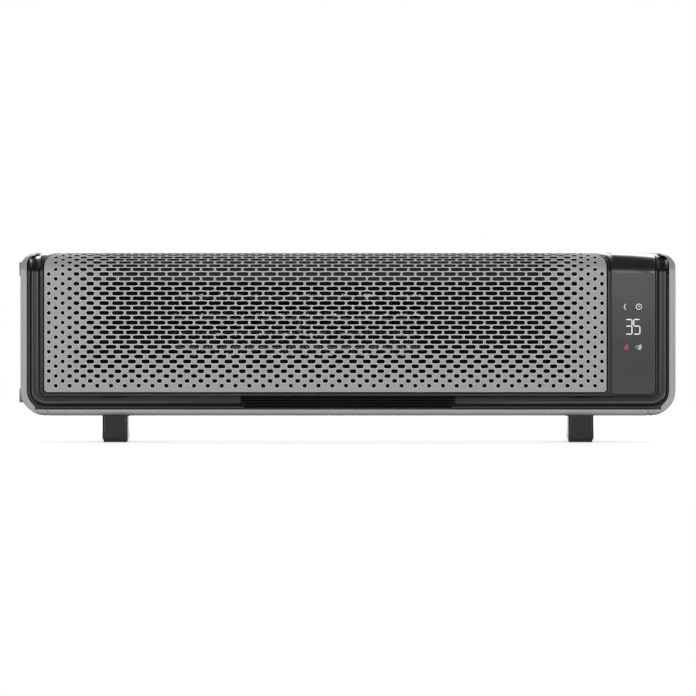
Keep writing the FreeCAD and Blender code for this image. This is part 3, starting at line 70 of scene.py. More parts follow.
class Nodes:
    """A node tree, with short ways to add nodes and to join them."""

    def __init__(self, owner):
        owner.use_nodes = True
        self.tree = owner.node_tree

    def feed(self, socket, value):
        """Links another node's output to a socket, or sets a plain value there."""
        if isinstance(value, bpy.types.NodeSocket):
            self.tree.links.new(value, socket)
        else:
            socket.default_value = value

    def add(self, kind, **inputs):
        """A node whose inputs are given by name, with capitals and spaces put in."""
        node = self.tree.nodes.new(kind)
        for name, value in inputs.items():
            self.feed(node.inputs[name.replace("_", " ").title()], value)
        return node

    def maths(self, operation, *values):
        node = self.add("ShaderNodeMath")
        node.operation = operation
        for socket, value in zip(node.inputs, values):
            self.feed(socket, value)
        return node.outputs["Value"]

    def blend(self, share, first, second):
        """A mix of two colours, which is the second one where the share is 1."""
        node = self.add("ShaderNodeMix")
        node.data_type = "RGBA"
        self.feed(node.inputs["Factor"], share)
        colours = [socket for socket in node.inputs if socket.type == "RGBA"]
        for socket, colour in zip(colours, (first, second)):
            self.feed(socket, colour)
        return next(socket for socket in node.outputs if socket.type == "RGBA")


class Finish(Nodes):
    """A material with a principled surface and a few chained texture nodes."""

    def __init__(self, name):
        self.name = name
        self.material = bpy.data.materials.new(name)
        super().__init__(self.material)
        self.surface = self.tree.nodes["Principled BSDF"]
        self.where = self.add("ShaderNodeTexCoord").outputs["Object"]

    def set(self, **inputs):
        """Sets the surface's inputs, given by name."""
        for name, value in inputs.items():
            self.feed(self.surface.inputs[name.replace("_", " ")], value)
        return self

    def stretched(self, scale):
        return self.add("ShaderNodeMapping", vector=self.where, scale=scale).outputs["Vector"]

    def noise(self, scale, detail=3.0, where=None):
        node = self.add("ShaderNodeTexNoise", vector=where or self.where, scale=scale, detail=detail)
        return node.outputs["Fac"]

    def spread(self, value, low, high, start=0.25, stop=0.75):
        """The part of a value between start and stop, stretched to run from low to high."""
        node = self.add(
            "ShaderNodeMapRange", value=value, from_min=start, from_max=stop, to_min=low, to_max=high)
        return node.outputs["Result"]

    def bump(self, height, strength, depth):
        return self.add("ShaderNodeBump", height=height, strength=strength, distance=depth).outputs["Normal"]


# Materials

GLOSS_CHANGE = 0.05
SHEET_GLOSS_CHANGE = 0.08
GRAIN_DEPTH = 0.05 * MM
DENT_DEPTH = 0.1 * MM


def painted(name, dark, light, rough, grain, metallic=0.0, bump=0.1, stretch=(1, 1, 1), shine=0.5):
    """A surface whose colour, gloss and grain all vary with one texture."""
    finish = Finish(name)
    field = finish.noise(grain, where=finish.stretched(stretch))
    return finish.set(
        Base_Color=finish.blend(finish.spread(field, 0.0, 1.0), dark, light),
        Roughness=finish.spread(field, rough - GLOSS_CHANGE, rough + GLOSS_CHANGE),
        Metallic=metallic,
        Specular_IOR_Level=shine,
        Normal=finish.bump(field, bump, GRAIN_DEPTH),
    )


def plastic(name, level, rough, warm=0.0, spread=4, grain=2600.0, bump=0.2, shine=0.5):
    """Moulded plastic with a fine spark-eroded texture."""
    dark, light = tone(level - spread, warm), tone(level + spread, warm)
    return painted(name, dark, light, rough, grain, bump=bump, shine=shine)


def metal(name, level, rough, warm=0.0, spread=8, stretch=(1, 1, 1), grain=900.0, metallic=1.0):
    """Bare metal, or with a low metallic share a metallic paint."""
    dark, light = tone(level - spread, warm), tone(level + spread, warm)
    return painted(name, dark, light, rough, grain, metallic=metallic, bump=0.05, stretch=stretch)


def tinted(name, dark, light, rough, grain=2600.0):
    """Coloured moulded plastic, from two linear colours."""
    return painted(name, (*dark, 1.0), (*light, 1.0), rough, grain, bump=0.15)


def banded(name, level, rough, pitch, spread=25):
    """Stacked laminations: bands across the length."""
    finish = Finish(name)
    bands = finish.add("ShaderNodeTexWave", vector=finish.where, scale=math.pi / 10 / pitch, distortion=0.4)
    bands.bands_direction = "X"
    lines = bands.outputs["Fac"]
    return finish.set(
        Base_Color=finish.blend(lines, tone(level - spread), tone(level + spread)),
        Roughness=finish.spread(finish.noise(1500.0), rough - SHEET_GLOSS_CHANGE, rough + SHEET_GLOSS_CHANGE),
        Metallic=1.0,
        Normal=finish.bump(lines, 0.4, DENT_DEPTH),
    )


def spangled(name, level, rough, spread=14):
    """Galvanised sheet: a patchwork of zinc crystals."""
    finish = Finish(name)
    cells = finish.add("ShaderNodeTexVoronoi", vector=finish.where, scale=160.0)
    shade = finish.add("ShaderNodeSeparateColor", color=cells.outputs["Color"]).outputs[0]
    return finish.set(
        Base_Color=finish.blend(shade, tone(level - spread, -2), tone(level + spread, -2)),
        Roughness=finish.spread(shade, rough - SHEET_GLOSS_CHANGE, rough + SHEET_GLOSS_CHANGE, 0.0, 1.0),
        Metallic=1.0,
        Normal=finish.bump(finish.noise(700.0), 0.06, DENT_DEPTH),
    )


def circuit(name):
    """Green solder mask over copper tracks."""
    finish = Finish(name)
    tracks = finish.add("ShaderNodeTexBrick", vector=finish.where, scale=90.0, mortar_size=0.03)
    soft = finish.add("ShaderNodeSeparateColor", color=tracks.outputs["Color"]).outputs[0]
    return finish.set(
        Base_Color=finish.blend(tracks.outputs["Fac"], (0.012, 0.06, 0.026, 1), (0.03, 0.12, 0.05, 1)),
        Roughness=finish.spread(soft, 0.3, 0.42, 0.0, 1.0),
        Normal=finish.bump(tracks.outputs["Fac"], 0.3, GRAIN_DEPTH),
    )


# Heights over which the panel's colour lightens up its face as painted light and darkens at its bend as painted
# shade
PANEL_PAINTED_LIGHT_RISE = (100 * MM, 185 * MM)
PANEL_PAINTED_SHADE_BEND = (184 * MM, 192 * MM)


def smoked_panel_with_painted_light(name):
    """A glossy panel, a little lighter up its face as painted light and dark where it bends as painted shade, with
    faint wipe marks.
    """
    finish = Finish(name)
    height = finish.add("ShaderNodeSeparateXYZ", vector=finish.where).outputs["Z"]
    painted_light_rise = finish.spread(height, 0.0, 1.0, *PANEL_PAINTED_LIGHT_RISE)
    bend = finish.spread(height, 0.0, 1.0, *PANEL_PAINTED_SHADE_BEND)
    wipes = finish.noise(22.0, where=finish.stretched((1, 1, 3)))
    face = finish.blend(painted_light_rise, tone(48, -2), tone(74, -2))
    return finish.set(
        # Painted shade: the colour goes dark where the panel bends
        Base_Color=finish.blend(bend, face, tone(34, -2)),
        Roughness=finish.spread(wipes, 0.16, 0.22),
        Normal=finish.bump(finish.noise(140.0), 0.01, DENT_DEPTH),
    )


def painted_glints(name, dark, light, rough):
    """Folded metal edges deep inside: dark as painted shade, with scattered bright spots as painted glints."""
    finish = Finish(name)
    painted_glint_spots = finish.noise(330.0, detail=2.0, where=finish.stretched((1, 0.2, 0.6)))
    return finish.set(
        Base_Color=finish.blend(finish.spread(painted_glint_spots, 0.0, 1.0, 0.55, 0.75), tone(dark), tone(light)),
        Roughness=finish.spread(painted_glint_spots, rough + 0.1, rough - 0.1),
        Metallic=1.0,
        Normal=finish.bump(finish.noise(900.0), 0.3, 2 * DENT_DEPTH),
    )


def lit(name, colour, strength):
    """A lit segment behind the panel, with a little unevenness in its light."""
    finish = Finish(name)
    glow = finish.noise(500.0)
    return finish.set(
        Base_Color=finish.blend(glow, tone(20), tone(40)),
        Emission_Color=colour,
        Emission_Strength=finish.spread(glow, strength * 0.9, strength * 1.1),
        Roughness=0.4,
    )


ALL_FINISHES = (
    metal("silver_trim", 159, 0.45, grain=1400.0, spread=4, metallic=0.15),
    plastic("dark_bezel", 22, 0.25, warm=-1, spread=2, bump=0.03, shine=0.4),
    # The bezel's edge beside the grille, lighter than the bezel as painted highlight
    plastic("bezel_lip_painted_highlight", 50, 0.2, warm=-1, spread=2, bump=0.03),
    plastic("vent_black", 8, 0.85, spread=2, shine=0.25),
    plastic("baffle_black", 8, 0.85, spread=2, shine=0.1),
    # Black in the gap round the grille, as painted shade
    plastic("gap_painted_shade", 8, 0.8, spread=2, shine=0.1),
    metal("grille_metal", 162, 0.7, warm=2, spread=3, grain=1500.0, metallic=0.15),
    # The hole rims: the grille's paint, lighter as painted highlight
    metal("grille_rim_painted_highlight", 250, 0.65, warm=1, spread=3, grain=1500.0, metallic=0.15),
    # The cut sides: the grille's paint, darkened as painted shade
    metal("grille_side_painted_shade", 25, 0.5, spread=3, grain=1500.0, metallic=0.15),
    smoked_panel_with_painted_light("touch_panel"),
    circuit("circuit_board"),
    plastic("display_window", 20, 0.15, spread=2, bump=0.02),
    # Aluminium deep inside, coloured almost black as painted shade, with bright spots as painted glints
    painted_glints("fin_aluminium", 8, 40, 0.5),
    painted_glints("rail_aluminium_painted_glints", 8, 180, 0.35),
    plastic("holder_plastic", 30, 0.55),
    spangled("duct_steel", 110, 0.4),
    metal("fan_aluminium", 150, 0.38),
    metal("shaft_steel", 190, 0.22, stretch=(8, 1, 1)),
    metal("motor_steel", 165, 0.34),
    banded("motor_iron", 85, 0.5, 0.6 * MM),
    metal("bush_brass", 170, 0.4, warm=34),
    plastic("black_rubber", 22, 0.65, spread=3, bump=0.3),
    plastic("end_pad", 128, 0.5, spread=4),
    plastic("rear_plastic", 42, 0.48, spread=4, bump=0.35),
    plastic("filter_nylon", 30, 0.6, spread=6, grain=4000.0),
    tinted("relay_plastic", (0.03, 0.06, 0.16), (0.05, 0.09, 0.21), 0.4),
    tinted("terminal_plastic", (0.06, 0.22, 0.09), (0.09, 0.29, 0.12), 0.45),
    tinted("capacitor_sleeve", (0.02, 0.03, 0.08), (0.03, 0.045, 0.11), 0.28, grain=300.0),
    metal("cutout_metal", 185, 0.3),
    plastic("switch_plastic", 22, 0.3, spread=2, bump=0.08),
    plastic("foot_plastic", 24, 0.25, spread=2, bump=0.05, shine=0.3),
    metal("screw_steel", 140, 0.32, grain=1800.0),
    plastic("switch_mark", 205, 0.5, spread=3),
    lit("lit_white", (0.95, 0.97, 1.0, 1.0), 0.9),
    lit("lit_grey", (0.9, 0.92, 0.95, 1.0), 0.42),
    lit("lit_red", (1.0, 0.05, 0.09, 1.0), 0.32),
)
finishes = {finish.name: finish.material for finish in ALL_FINISHES}

OTHER_FINISH = {"end_pad_upper": "end_pad", "end_pad_lower": "end_pad", "baffle_panel": "baffle_black"}
OTHER_FINISH.update({"element_rail_%d" % i: "rail_aluminium_painted_glints" for i in (1, 2, 3, 4)})
for row in frame["record"]["subparts"]:
    holder = nodes[row["node"]].material_slots[0]
    holder.link = "OBJECT"
    holder.material = finishes[OTHER_FINISH.get(row["node"], row["material_slot"])]


# Pieces

MARK_THICKNESS = 0.08 * MM


def new_object(name, verts, faces, *materials):
    mesh = bpy.data.meshes.new(name)
    mesh.from_pydata(verts, [], faces)
    for material in materials:
        mesh.materials.append(material)
    made = bpy.data.objects.new(name, mesh)
    scene.collection.objects.link(made)
    return made


def loft(name, rings, material):
    """A solid through a row of closed rings of points."""
    count = len(rings[0])
    verts = [point for ring in rings for point in ring]
    faces = [tuple(range(count)), tuple(range(len(verts) - 1, len(verts) - 1 - count, -1))]
    for start in range(0, len(verts) - count, count):
        for here in range(count):
            after = (here + 1) % count
            faces.append((start + here, start + count + here, start + count + after, start + after))
    return new_object(name, verts, faces, material)


def dress(piece, body="heater"):
    """A new piece rides on a body."""
    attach(piece, body)
    return piece


def smooth_over(piece, angle):
    """Shades a piece smoothly, apart from the edges that turn by more than this many degrees."""
    piece.data.shade_smooth()
    piece.data.set_sharp_from_angle(angle=math.radians(angle))


def inlay(name, outlines, place, finish, body="heater"):
    """Thin flat marks: each outline is a list of (across, up) points, and place puts them in space."""
    verts, faces = [], []
    for outline in outlines:
        start, count = len(verts), len(outline)
        verts += [place(across, up, MARK_THICKNESS) for across, up in outline]
        verts += [place(across, up, 0.0) for across, up in outline]
        faces.append(tuple(range(start, start + count)))
        faces.append(tuple(reversed(range(start + count, start + 2 * count))))
        for here in range(count):
            after = (here + 1) % count
            faces.append((start + after, start + here, start + count + here, start + count + after))
    return dress(new_object(name, verts, faces, finishes[finish]), body)


# Softened edges

SAME_POINT = 0.002 * MM
SAME_PLANE = math.radians(0.02)
SHARP_EDGE = math.radians(30)
EDGE_SEGMENTS = 2
EDGE_WIDTHS = {
    "left_end_cap": 0.7, "right_end_cap": 0.7, "bottom_panel": 0.7, "top_panel": 0.4, "front_bezel": 0.4,
    "control_panel": 0.8, "foot_left": 0.5, "foot_right": 0.5, "intake_cover": 0.3, "rear_housing": 0.4,
    "end_pad_upper": 0.6, "end_pad_lower": 0.6, "cord_gland": 0.4, "switch_body": 0.3,
}


def soften(name, width):
    """Rounds the sharp edges of a solid by a small width."""
    node = nodes[name]
    weld = node.modifiers.new("weld", "WELD")
    weld.merge_threshold = SAME_POINT
    flat = node.modifiers.new("flat", "DECIMATE")
    flat.decimate_type = "DISSOLVE"
    flat.angle_limit = SAME_PLANE
    edge = node.modifiers.new("edge", "BEVEL")
    edge.width = width
    edge.segments = EDGE_SEGMENTS
    edge.limit_method = "ANGLE"
    edge.angle_limit = SHARP_EDGE
    edge.use_clamp_overlap = False
    edge.loop_slide = False
    edge.harden_normals = True


for name, width in EDGE_WIDTHS.items():
    soften(name, width * MM)


# Perforated grille: its sheet

BEND_RADIUS = 11 * MM
BEND_ANGLE = math.radians(46)
CROWN_RADIUS = 48 * MM
CROWN_ANGLE = math.pi / 2 - BEND_ANGLE
SHOULDER_FLAT = 2 * MM
TOP_RUN = 2.9 * MM
SHEET_THICKNESS = 1 * MM
SHEET_CORNER = 4 * MM
SHEET_BACK_CORNER = 40 * MM
SHEET_EDGE = 0.45 * MM
ARC_STEPS = 10
BACK_STEPS = 24
TURN_STEP = math.radians(4)
HALVINGS = 40

sheet_low, sheet_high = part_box("grille")
sheet_left, sheet_right = sheet_low.x, sheet_high.x
bend_tangent = BEND_RADIUS * math.tan(BEND_ANGLE / 2)
shoulder = bend_tangent + SHOULDER_FLAT + CROWN_RADIUS * math.tan(CROWN_ANGLE / 2)
flat_height = sheet_high.z - shoulder * math.cos(BEND_ANGLE) - bend_tangent - sheet_low.z

# Lengths up the sheet, each with the radius of its bend, or 0 where it is flat
SHEET_RUNS = (
    (flat_height, 0.0),
    (BEND_RADIUS * BEND_ANGLE, BEND_RADIUS),
    (SHOULDER_FLAT, 0.0),
    (CROWN_RADIUS * CROWN_ANGLE, CROWN_RADIUS),
    (TOP_RUN, 0.0),
)
SHEET_LENGTH = sum(length for length, radius in SHEET_RUNS)


def sheet_place(distance):
    """Point (y, z) on the sheet's outer face and its lean, at a distance up from the foot."""
    y, z, lean = sheet_low.y, sheet_low.z, 0.0
    for length, radius in SHEET_RUNS:
        step = min(distance, length)
        swing = step / radius if radius else 0.0
        if radius:
            y += radius * (math.cos(lean) - math.cos(lean + swing))
            z += radius * (math.sin(lean + swing) - math.sin(lean))
        else:
            y += step * math.sin(lean)
            z += step * math.cos(lean)
        lean += swing
        distance -= step
    return y, z, lean


def wrapped(x, depth, up):
    """A point of the flattened sheet, laid over the bends."""
    y, z, lean = sheet_place(min(up, SHEET_LENGTH))
    return x, y + depth * math.cos(lean), z - depth * math.sin(lean)


def sheet_distance(depth):
    """How far up the sheet its outer face lies at this y."""
    low, high = flat_height, SHEET_LENGTH
    for _ in range(HALVINGS):
        middle = (low + high) / 2
        if sheet_place(middle)[0] < depth:
            low = middle
        else:
            high = middle
    return low


def arc(x, up, radius, start, steps):
    """A quarter turn of points, anticlockwise."""
    turns = [start + math.pi / 2 * i / steps for i in range(steps + 1)]
    return [(x + radius * math.cos(turn), up + radius * math.sin(turn)) for turn in turns]


def sheet_outline(inset):
    """The flattened sheet's edge, anticlockwise from where its left back corner leaves the back edge."""
    left, right = sheet_left + inset, sheet_right - inset
    corner = SHEET_CORNER - inset
    back_corner = SHEET_BACK_CORNER - inset
    back = sheet_high.y - SHEET_BACK_CORNER
    left_back = arc(left + back_corner, back, back_corner, math.pi / 2, BACK_STEPS)
    right_back = arc(right - back_corner, back, back_corner, 0.0, BACK_STEPS)
    points = [(x, sheet_distance(depth)) for x, depth in left_back]
    points.append((left, flat_height))
    points += arc(left + corner, inset + corner, corner, math.pi, ARC_STEPS)
    points += arc(right - corner, inset + corner, corner, 1.5 * math.pi, ARC_STEPS)
    points.append((right, flat_height))
    return points + [(x, sheet_distance(depth)) for x, depth in right_back]


# Perforated grille: its holes

HOLE_WIDTH = 4.6 * MM
SLOT_LENGTH = 13.7 * MM
HOLE_PITCH = 15.2 * MM
ROW_PITCH = 5.34 * MM
FIRST_ROW = 7.4 * MM
FIRST_LENGTH = 5.2 * MM
SIDE_MARGIN = 3.1 * MM
SIDE_TAPER = 1.1 * MM
ROW_TAPER = 0.88 * MM
RIM_WIDTH = 0.3 * MM
RIM_DEPTH = 0.12 * MM
ROUND_HOLE = 0.01 * MM


def clear_of_corner(reach, up):
    """Whether a hole that reaches this far from the middle keeps its margin to the rounded back corner."""
    across = reach - (sheet_right - sheet_left) / 2 + SHEET_BACK_CORNER
    back = sheet_place(up)[0] + HOLE_WIDTH / 2 - sheet_high.y + SHEET_BACK_CORNER
    return min(across, back) < 0 or math.hypot(across, back) < SHEET_BACK_CORNER - SIDE_MARGIN


def hole_list():
    """Every hole as (x, distance up, length): round at the sides, almost so at the foot, slots inside."""
    columns = int((sheet_right - sheet_left - 2 * SIDE_MARGIN - HOLE_WIDTH) / HOLE_PITCH)
    rows = int((SHEET_LENGTH - FIRST_ROW - HOLE_WIDTH) / ROW_PITCH) + 1
    centre = (sheet_left + sheet_right) / 2
    holes = []
    for row in range(rows):
        across = columns if row % 2 else columns - 1
        up = FIRST_ROW + row * ROW_PITCH
        for column in range(across + 1):
            steps = min(column, across - column) * 2 + (0 if row % 2 else 1)
            side = HOLE_WIDTH + max(0, steps - 2) * SIDE_TAPER
            length = min(side, FIRST_LENGTH + row * ROW_TAPER, SLOT_LENGTH)
            x = centre + (column - across / 2) * HOLE_PITCH
            if clear_of_corner(abs(x - centre) + length / 2, up):
                holes.append((x, up, length))
    return holes


def hole_ring(x, up, length, grow):
    """Points round one hole, anticlockwise, grown outwards by a margin."""
    radius = HOLE_WIDTH / 2 + grow
    half = max(0.0, (length - HOLE_WIDTH) / 2)
    ring = []
    for side in (1, -1):
        for i in range(ARC_STEPS + 1):
            turn = math.pi * (i / ARC_STEPS - 0.5)
            ring.append((x + side * (half + radius * math.cos(turn)), up + side * radius * math.sin(turn)))
    if half < ROUND_HOLE:
        del ring[ARC_STEPS], ring[-1]
    return ring


# Perforated grille: its mesh

# Finishes of the sheet's faces, its hole rims, lighter as painted highlight, and its cut sides, darker as painted
# shade
GRILLE_FINISHES = ("grille_metal", "grille_rim_painted_highlight", "grille_side_painted_shade")
RIM_HIGHLIGHT = GRILLE_FINISHES.index("grille_rim_painted_highlight")
CUT_SHADE = GRILLE_FINISHES.index("grille_side_painted_shade")
SAME_PLACE = 1e-7


def lay_out_sheet():
    """The flat sheet's outline and hole rims as points, closed loops of point numbers, and the holes."""
    points = [Vector(point) for point in sheet_outline(SHEET_EDGE)]
    loops = [list(range(len(points)))]
    holes = hole_list()
    for hole in holes:
        ring = hole_ring(*hole, RIM_WIDTH)
        loops.append(list(range(len(points), len(points) + len(ring))))
        points += [Vector(point) for point in ring]
    return points, loops, holes


def band(sheet, upper, lower, material_index):
    """A closed band of faces between two rings of points."""
    for i in range(len(upper)):
        face = sheet.faces.new((upper[i], upper[i - 1], lower[i - 1], lower[i]))
        face.material_index = material_index


def cut_across_bends(sheet):
    """Cuts the flat sheet across at small steps where it is going to bend."""
    faces = [face for face in sheet.faces if max(vert.co.z for vert in face.verts) > flat_height]
    edges = dict.fromkeys(edge for face in faces for edge in face.edges)
    verts = dict.fromkeys(vert for face in faces for vert in face.verts)
    geometry = [*faces, *edges, *verts]
    start = 0.0
    for length, radius in SHEET_RUNS:
        steps = math.ceil(length / radius / TURN_STEP) if radius else 0
        for i in range(steps + 1 if radius else 0):
            level = (0.0, 0.0, start + length * i / steps)
            geometry = bmesh.ops.bisect_plane(
                sheet, geom=geometry, dist=SAME_PLACE, plane_co=level, plane_no=(0, 0, 1))["geom"]
        start += length


def flat_sheet():
    """The sheet laid out flat, with a rim round each hole."""
    points, loops, holes = lay_out_sheet()
    edges = [(loop[i - 1], loop[i]) for loop in loops for i in range(len(loop))]
    flat, _, triangles, origins, _, _ = delaunay_2d_cdt(points, edges, [], 1, SAME_PLACE)
    number_of = {old: new for new, group in enumerate(origins) for old in group}
    loops = [[number_of[i] for i in loop] for loop in loops]
    owner = {i: n for n, loop in enumerate(loops[1:]) for i in loop}
    sheet = bmesh.new()
    front = [sheet.verts.new((point.x, 0.0, point.y)) for point in flat]
    back = [sheet.verts.new((point.x, SHEET_THICKNESS, point.y)) for point in flat]
    for triangle in triangles:
        inside_one_hole = len({owner.get(i, -1 - i) for i in triangle}) == 1
        if not inside_one_hole:
            sheet.faces.new([front[i] for i in triangle])
            sheet.faces.new([back[i] for i in reversed(triangle)])
    for hole, loop in zip(holes, loops[1:]):
        lip = [sheet.verts.new((x, RIM_DEPTH, up)) for x, up in hole_ring(*hole, 0.0)]
        # The rim round each hole takes a lighter finish as painted highlight
        band(sheet, [front[i] for i in loop], lip, RIM_HIGHLIGHT)
        # The hole's wall takes a dark finish as painted shade
        band(sheet, lip, [back[i] for i in loop], CUT_SHADE)
    # The sheet's outer edge takes the dark finish as painted shade
    side = [sheet.verts.new((x, SHEET_THICKNESS / 2, up)) for x, up in sheet_outline(0.0)]
    band(sheet, side, [front[i] for i in loops[0]], CUT_SHADE)
    band(sheet, [back[i] for i in loops[0]], side, CUT_SHADE)
    return sheet


def build_grille():
    """The flat sheet, wrapped over the top."""
    sheet = flat_sheet()
    cut_across_bends(sheet)
    for vert in sheet.verts:
        vert.co = wrapped(*vert.co)
    bmesh.ops.recalc_face_normals(sheet, faces=sheet.faces)
    piece = new_object("grille_sheet", [], [], *(finishes[name] for name in GRILLE_FINISHES))
    sheet.to_mesh(piece.data)
    sheet.free()
    smooth_over(piece, 20)
    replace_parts(dress(piece), "grille")


build_grille()


# Strips round the grille

# A black strip on the bezel's ledge, put in the narrow gap round the grille as painted shade
GAP_SHADE_SECTION = [(1.1, 1.03), (-0.7, 1.03), (-0.7, 1.28), (1.1, 1.28)]
# The bezel's rounded edge beside that gap, coloured lighter than the bezel as painted highlight, which ends part
# of the way round the grille's back corners
LIP_SECTION = [(2.3, 0.42), (2.1, 0.22), (1.8, 0.14), (1.5, 0.22), (1.3, 0.45), (1.15, 0.8), (2.3, 0.8)]
LIP_SKIP = 8


def edge_strip(name, section, finish, skip=0):
    """A strip round the grille; its section is a list of (distance outside the grille's edge, depth)."""
    paths = [sheet_outline(-out * MM) for out, depth in section]
    rings = []
    for place in list(zip(*paths))[skip:len(paths[0]) - skip]:
        rings.append([wrapped(x, depth * MM, up) for (x, up), (out, depth) in zip(place, section)])
    piece = loft(name, rings, finishes[finish])
    smooth_over(piece, 50)
    dress(piece)


edge_strip("grille_gap_painted_shade", GAP_SHADE_SECTION, "gap_painted_shade")
edge_strip("bezel_lip_painted_highlight", LIP_SECTION, "bezel_lip_painted_highlight", LIP_SKIP)


# Filter cloth

PLEAT = 1.5 * MM
PLEAT_DEPTHS = (0.1 * MM, 0.22 * MM)
CLOTH_HALF = 0.03 * MM
CLOTH_INSET = 0.6 * MM


def build_cloth():
    """The fine pleated cloth in front of the filter's coarse lattice."""
    low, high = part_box("filter_mesh")
    count = int((high.x - low.x - 2 * CLOTH_INSET) / PLEAT)
    bottom, top = low.z + CLOTH_INSET, high.z - CLOTH_INSET
    rings = []
    for i in range(count + 1):
        x = low.x + CLOTH_INSET + i * PLEAT
        y = low.y - PLEAT_DEPTHS[i % 2]
        near, far = y - CLOTH_HALF, y + CLOTH_HALF
        rings.append([(x, near, bottom), (x, near, top), (x, far, top), (x, far, bottom)])
    dress(loft("filter_cloth", rings, finishes["filter_nylon"]), "intake")


build_cloth()


# Outlines of marks, in millimetres

DIGIT_WIDTH, DIGIT_HEIGHT, DIGIT_STROKE = 7.8, 17.2, 1.15
SEGMENT_GAP = 0.22
WAIST_SHARE = 0.55


def segment(x, z, length, upright):
    """One bar of a digit, pointed at both ends."""
    half = DIGIT_STROKE / 2
    bar = [(0, 0), (half, -half), (length - half, -half), (length, 0), (length - half, half), (half, half)]
    return [(x - aside, z + along) if upright else (x + along, z + aside) for along, aside in bar]


def digit(left, low, bars):
    """A seven-bar digit; bars are named a to g, clockwise from the top, with g in the middle."""
    half = DIGIT_STROKE / 2
    near, far = left + half, left + DIGIT_WIDTH - half
    foot, head = low + half, low + DIGIT_HEIGHT - half
    waist = foot + WAIST_SHARE * (head - foot)
    across = far - near - 2 * SEGMENT_GAP
    places = {
        "a": (near, head, False), "g": (near, waist, False), "d": (near, foot, False),
        "f": (near, waist, True), "e": (near, foot, True), "b": (far, waist, True), "c": (far, foot, True),
    }
    outlines = []
    for bar in bars:
        x, z, upright = places[bar]
        if upright:
            tall = (head if z == waist else waist) - z - 2 * SEGMENT_GAP
            outlines.append(segment(x, z + SEGMENT_GAP, tall, True))
        else:
            outlines.append(segment(x + SEGMENT_GAP, z, across, False))
    return outlines


def turn_points(x, z, radius, start, stop, steps=20):
    """Points on a circle between two angles in degrees."""
    turns = [math.radians(start + (stop - start) * i / steps) for i in range(steps + 1)]
    return [(x + radius * math.cos(turn), z + radius * math.sin(turn)) for turn in turns]


def ring_parts(x, z, outer, inner):
    """A ring as two halves, so that each is a plain outline."""
    halves = []
    for start in (0, 180):
        there = turn_points(x, z, outer, start, start + 180)
        halves.append(there + turn_points(x, z, inner, start + 180, start))
    return halves


def smooth(points, steps=5):
    """A closed flowing outline through a few points."""
    count, flowing = len(points), []
    for i in range(count):
        before, here, there, after = (Vector(points[(i + shift) % count]) for shift in (-1, 0, 1, 2))
        run = there - before
        bend = 2 * before - 5 * here + 4 * there - after
        twist = 3 * here - before - 3 * there + after
        for step in range(steps):
            share = step / steps
            flowing.append(tuple(here + 0.5 * (run * share + bend * share ** 2 + twist * share ** 3)))
    return flowing


def moved(points, place):
    """An outline moved to a place (across, up)."""
    return [(across + place[0], up + place[1]) for across, up in points]


# Lit marks on the touch panel, placed in millimetres from its lower left corner

PANEL_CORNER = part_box("control_panel")[0]
DIGITS_LOW = 65.8
TENS_LEFT, UNITS_LEFT = 15.4, 24.1
MOON_PLACE = (17.5, 96.4)
CLOCK_PLACE = (30.2, 96.5)
FLAME_PLACE = (16.3, 52.1)
LEAF_PLACE = (30.4, 52.1)
MOON = turn_points(0.0, 0.0, 3.7, 115, 245) + turn_points(0.7, 0.0, 3.6, 242, 118)
CLOCK_OUTER, CLOCK_INNER = 3.3, 2.6
CLOCK_HANDS = [(-0.3, -0.3), (1.1, -0.3), (1.1, 0.2), (0.2, 0.2), (0.2, 1.4), (-0.3, 1.4)]
FLAME = [(0.2, -3.3), (2.1, -2.4), (2.7, -0.4), (2.0, 1.5), (2.3, 3.3), (0.3, 2.5), (-1.2, 1.2), (-2.5, -0.6),
         (-2.0, -2.5)]
LEAF = [(-1.0, -2.8), (1.4, -2.9), (3.0, -1.0), (2.8, 1.5), (2.2, 3.2), (0.2, 2.2), (-1.0, 0.4), (-1.5, -1.4)]
STALK = [(-4.0, -1.2), (-3.2, 0.9), (-1.6, 2.1), (-1.4, 1.4), (-2.6, 0.5), (-3.4, -1.3)]


def on_panel(across, up, lift):
    """A point on the panel's flat front, or lifted off it."""
    return PANEL_CORNER.x + across * MM, PANEL_CORNER.y - lift, PANEL_CORNER.z + up * MM


def panel_mark(name, outlines, finish):
    inlay(name, outlines, on_panel, finish)


panel_mark("digit_tens", digit(TENS_LEFT, DIGITS_LOW, "abgcd"), "lit_white")
panel_mark("digit_units", digit(UNITS_LEFT, DIGITS_LOW, "afgcd"), "lit_white")
panel_mark("moon_mark", [moved(MOON, MOON_PLACE)], "lit_white")
clock = ring_parts(*CLOCK_PLACE, CLOCK_OUTER, CLOCK_INNER)
clock.append(moved(CLOCK_HANDS, CLOCK_PLACE))
panel_mark("clock_mark", clock, "lit_white")
panel_mark("flame_mark", [smooth(moved(FLAME, FLAME_PLACE))], "lit_red")
panel_mark("leaf_mark", [smooth(moved(part, LEAF_PLACE)) for part in (LEAF, STALK)], "lit_grey")


# Marks on the power switch

ROCKER_AXIS = next(Vector(joint["pos_m"]) for joint in frame["joints"] if joint["name"] == "rocker_tilt")
ROCKER_LEAN = math.radians(-8)
ROCKER_VALLEY, ROCKER_SLOPE = 5.0, 0.8 / 4.2
SWITCH_BAR = [(-0.3, 0.9), (0.3, 0.9), (0.3, 3.3), (-0.3, 3.3)]
SWITCH_RING = ring_parts(0.0, -2.1, 1.25, 0.75)


def on_rocker(across, up, lift):
    """A point on the rocker's two sloping faces, which meet in a shallow valley, in its resting tilt."""
    out = ROCKER_VALLEY + ROCKER_SLOPE * abs(up)
    y = out * math.cos(ROCKER_LEAN) - up * math.sin(ROCKER_LEAN)
    z = out * math.sin(ROCKER_LEAN) + up * math.cos(ROCKER_LEAN)
    return ROCKER_AXIS.x - across * MM, ROCKER_AXIS.y + y * MM + lift, ROCKER_AXIS.z + z * MM


def switch_mark(name, outlines):
    inlay(name, outlines, on_rocker, "switch_mark", "rocker")


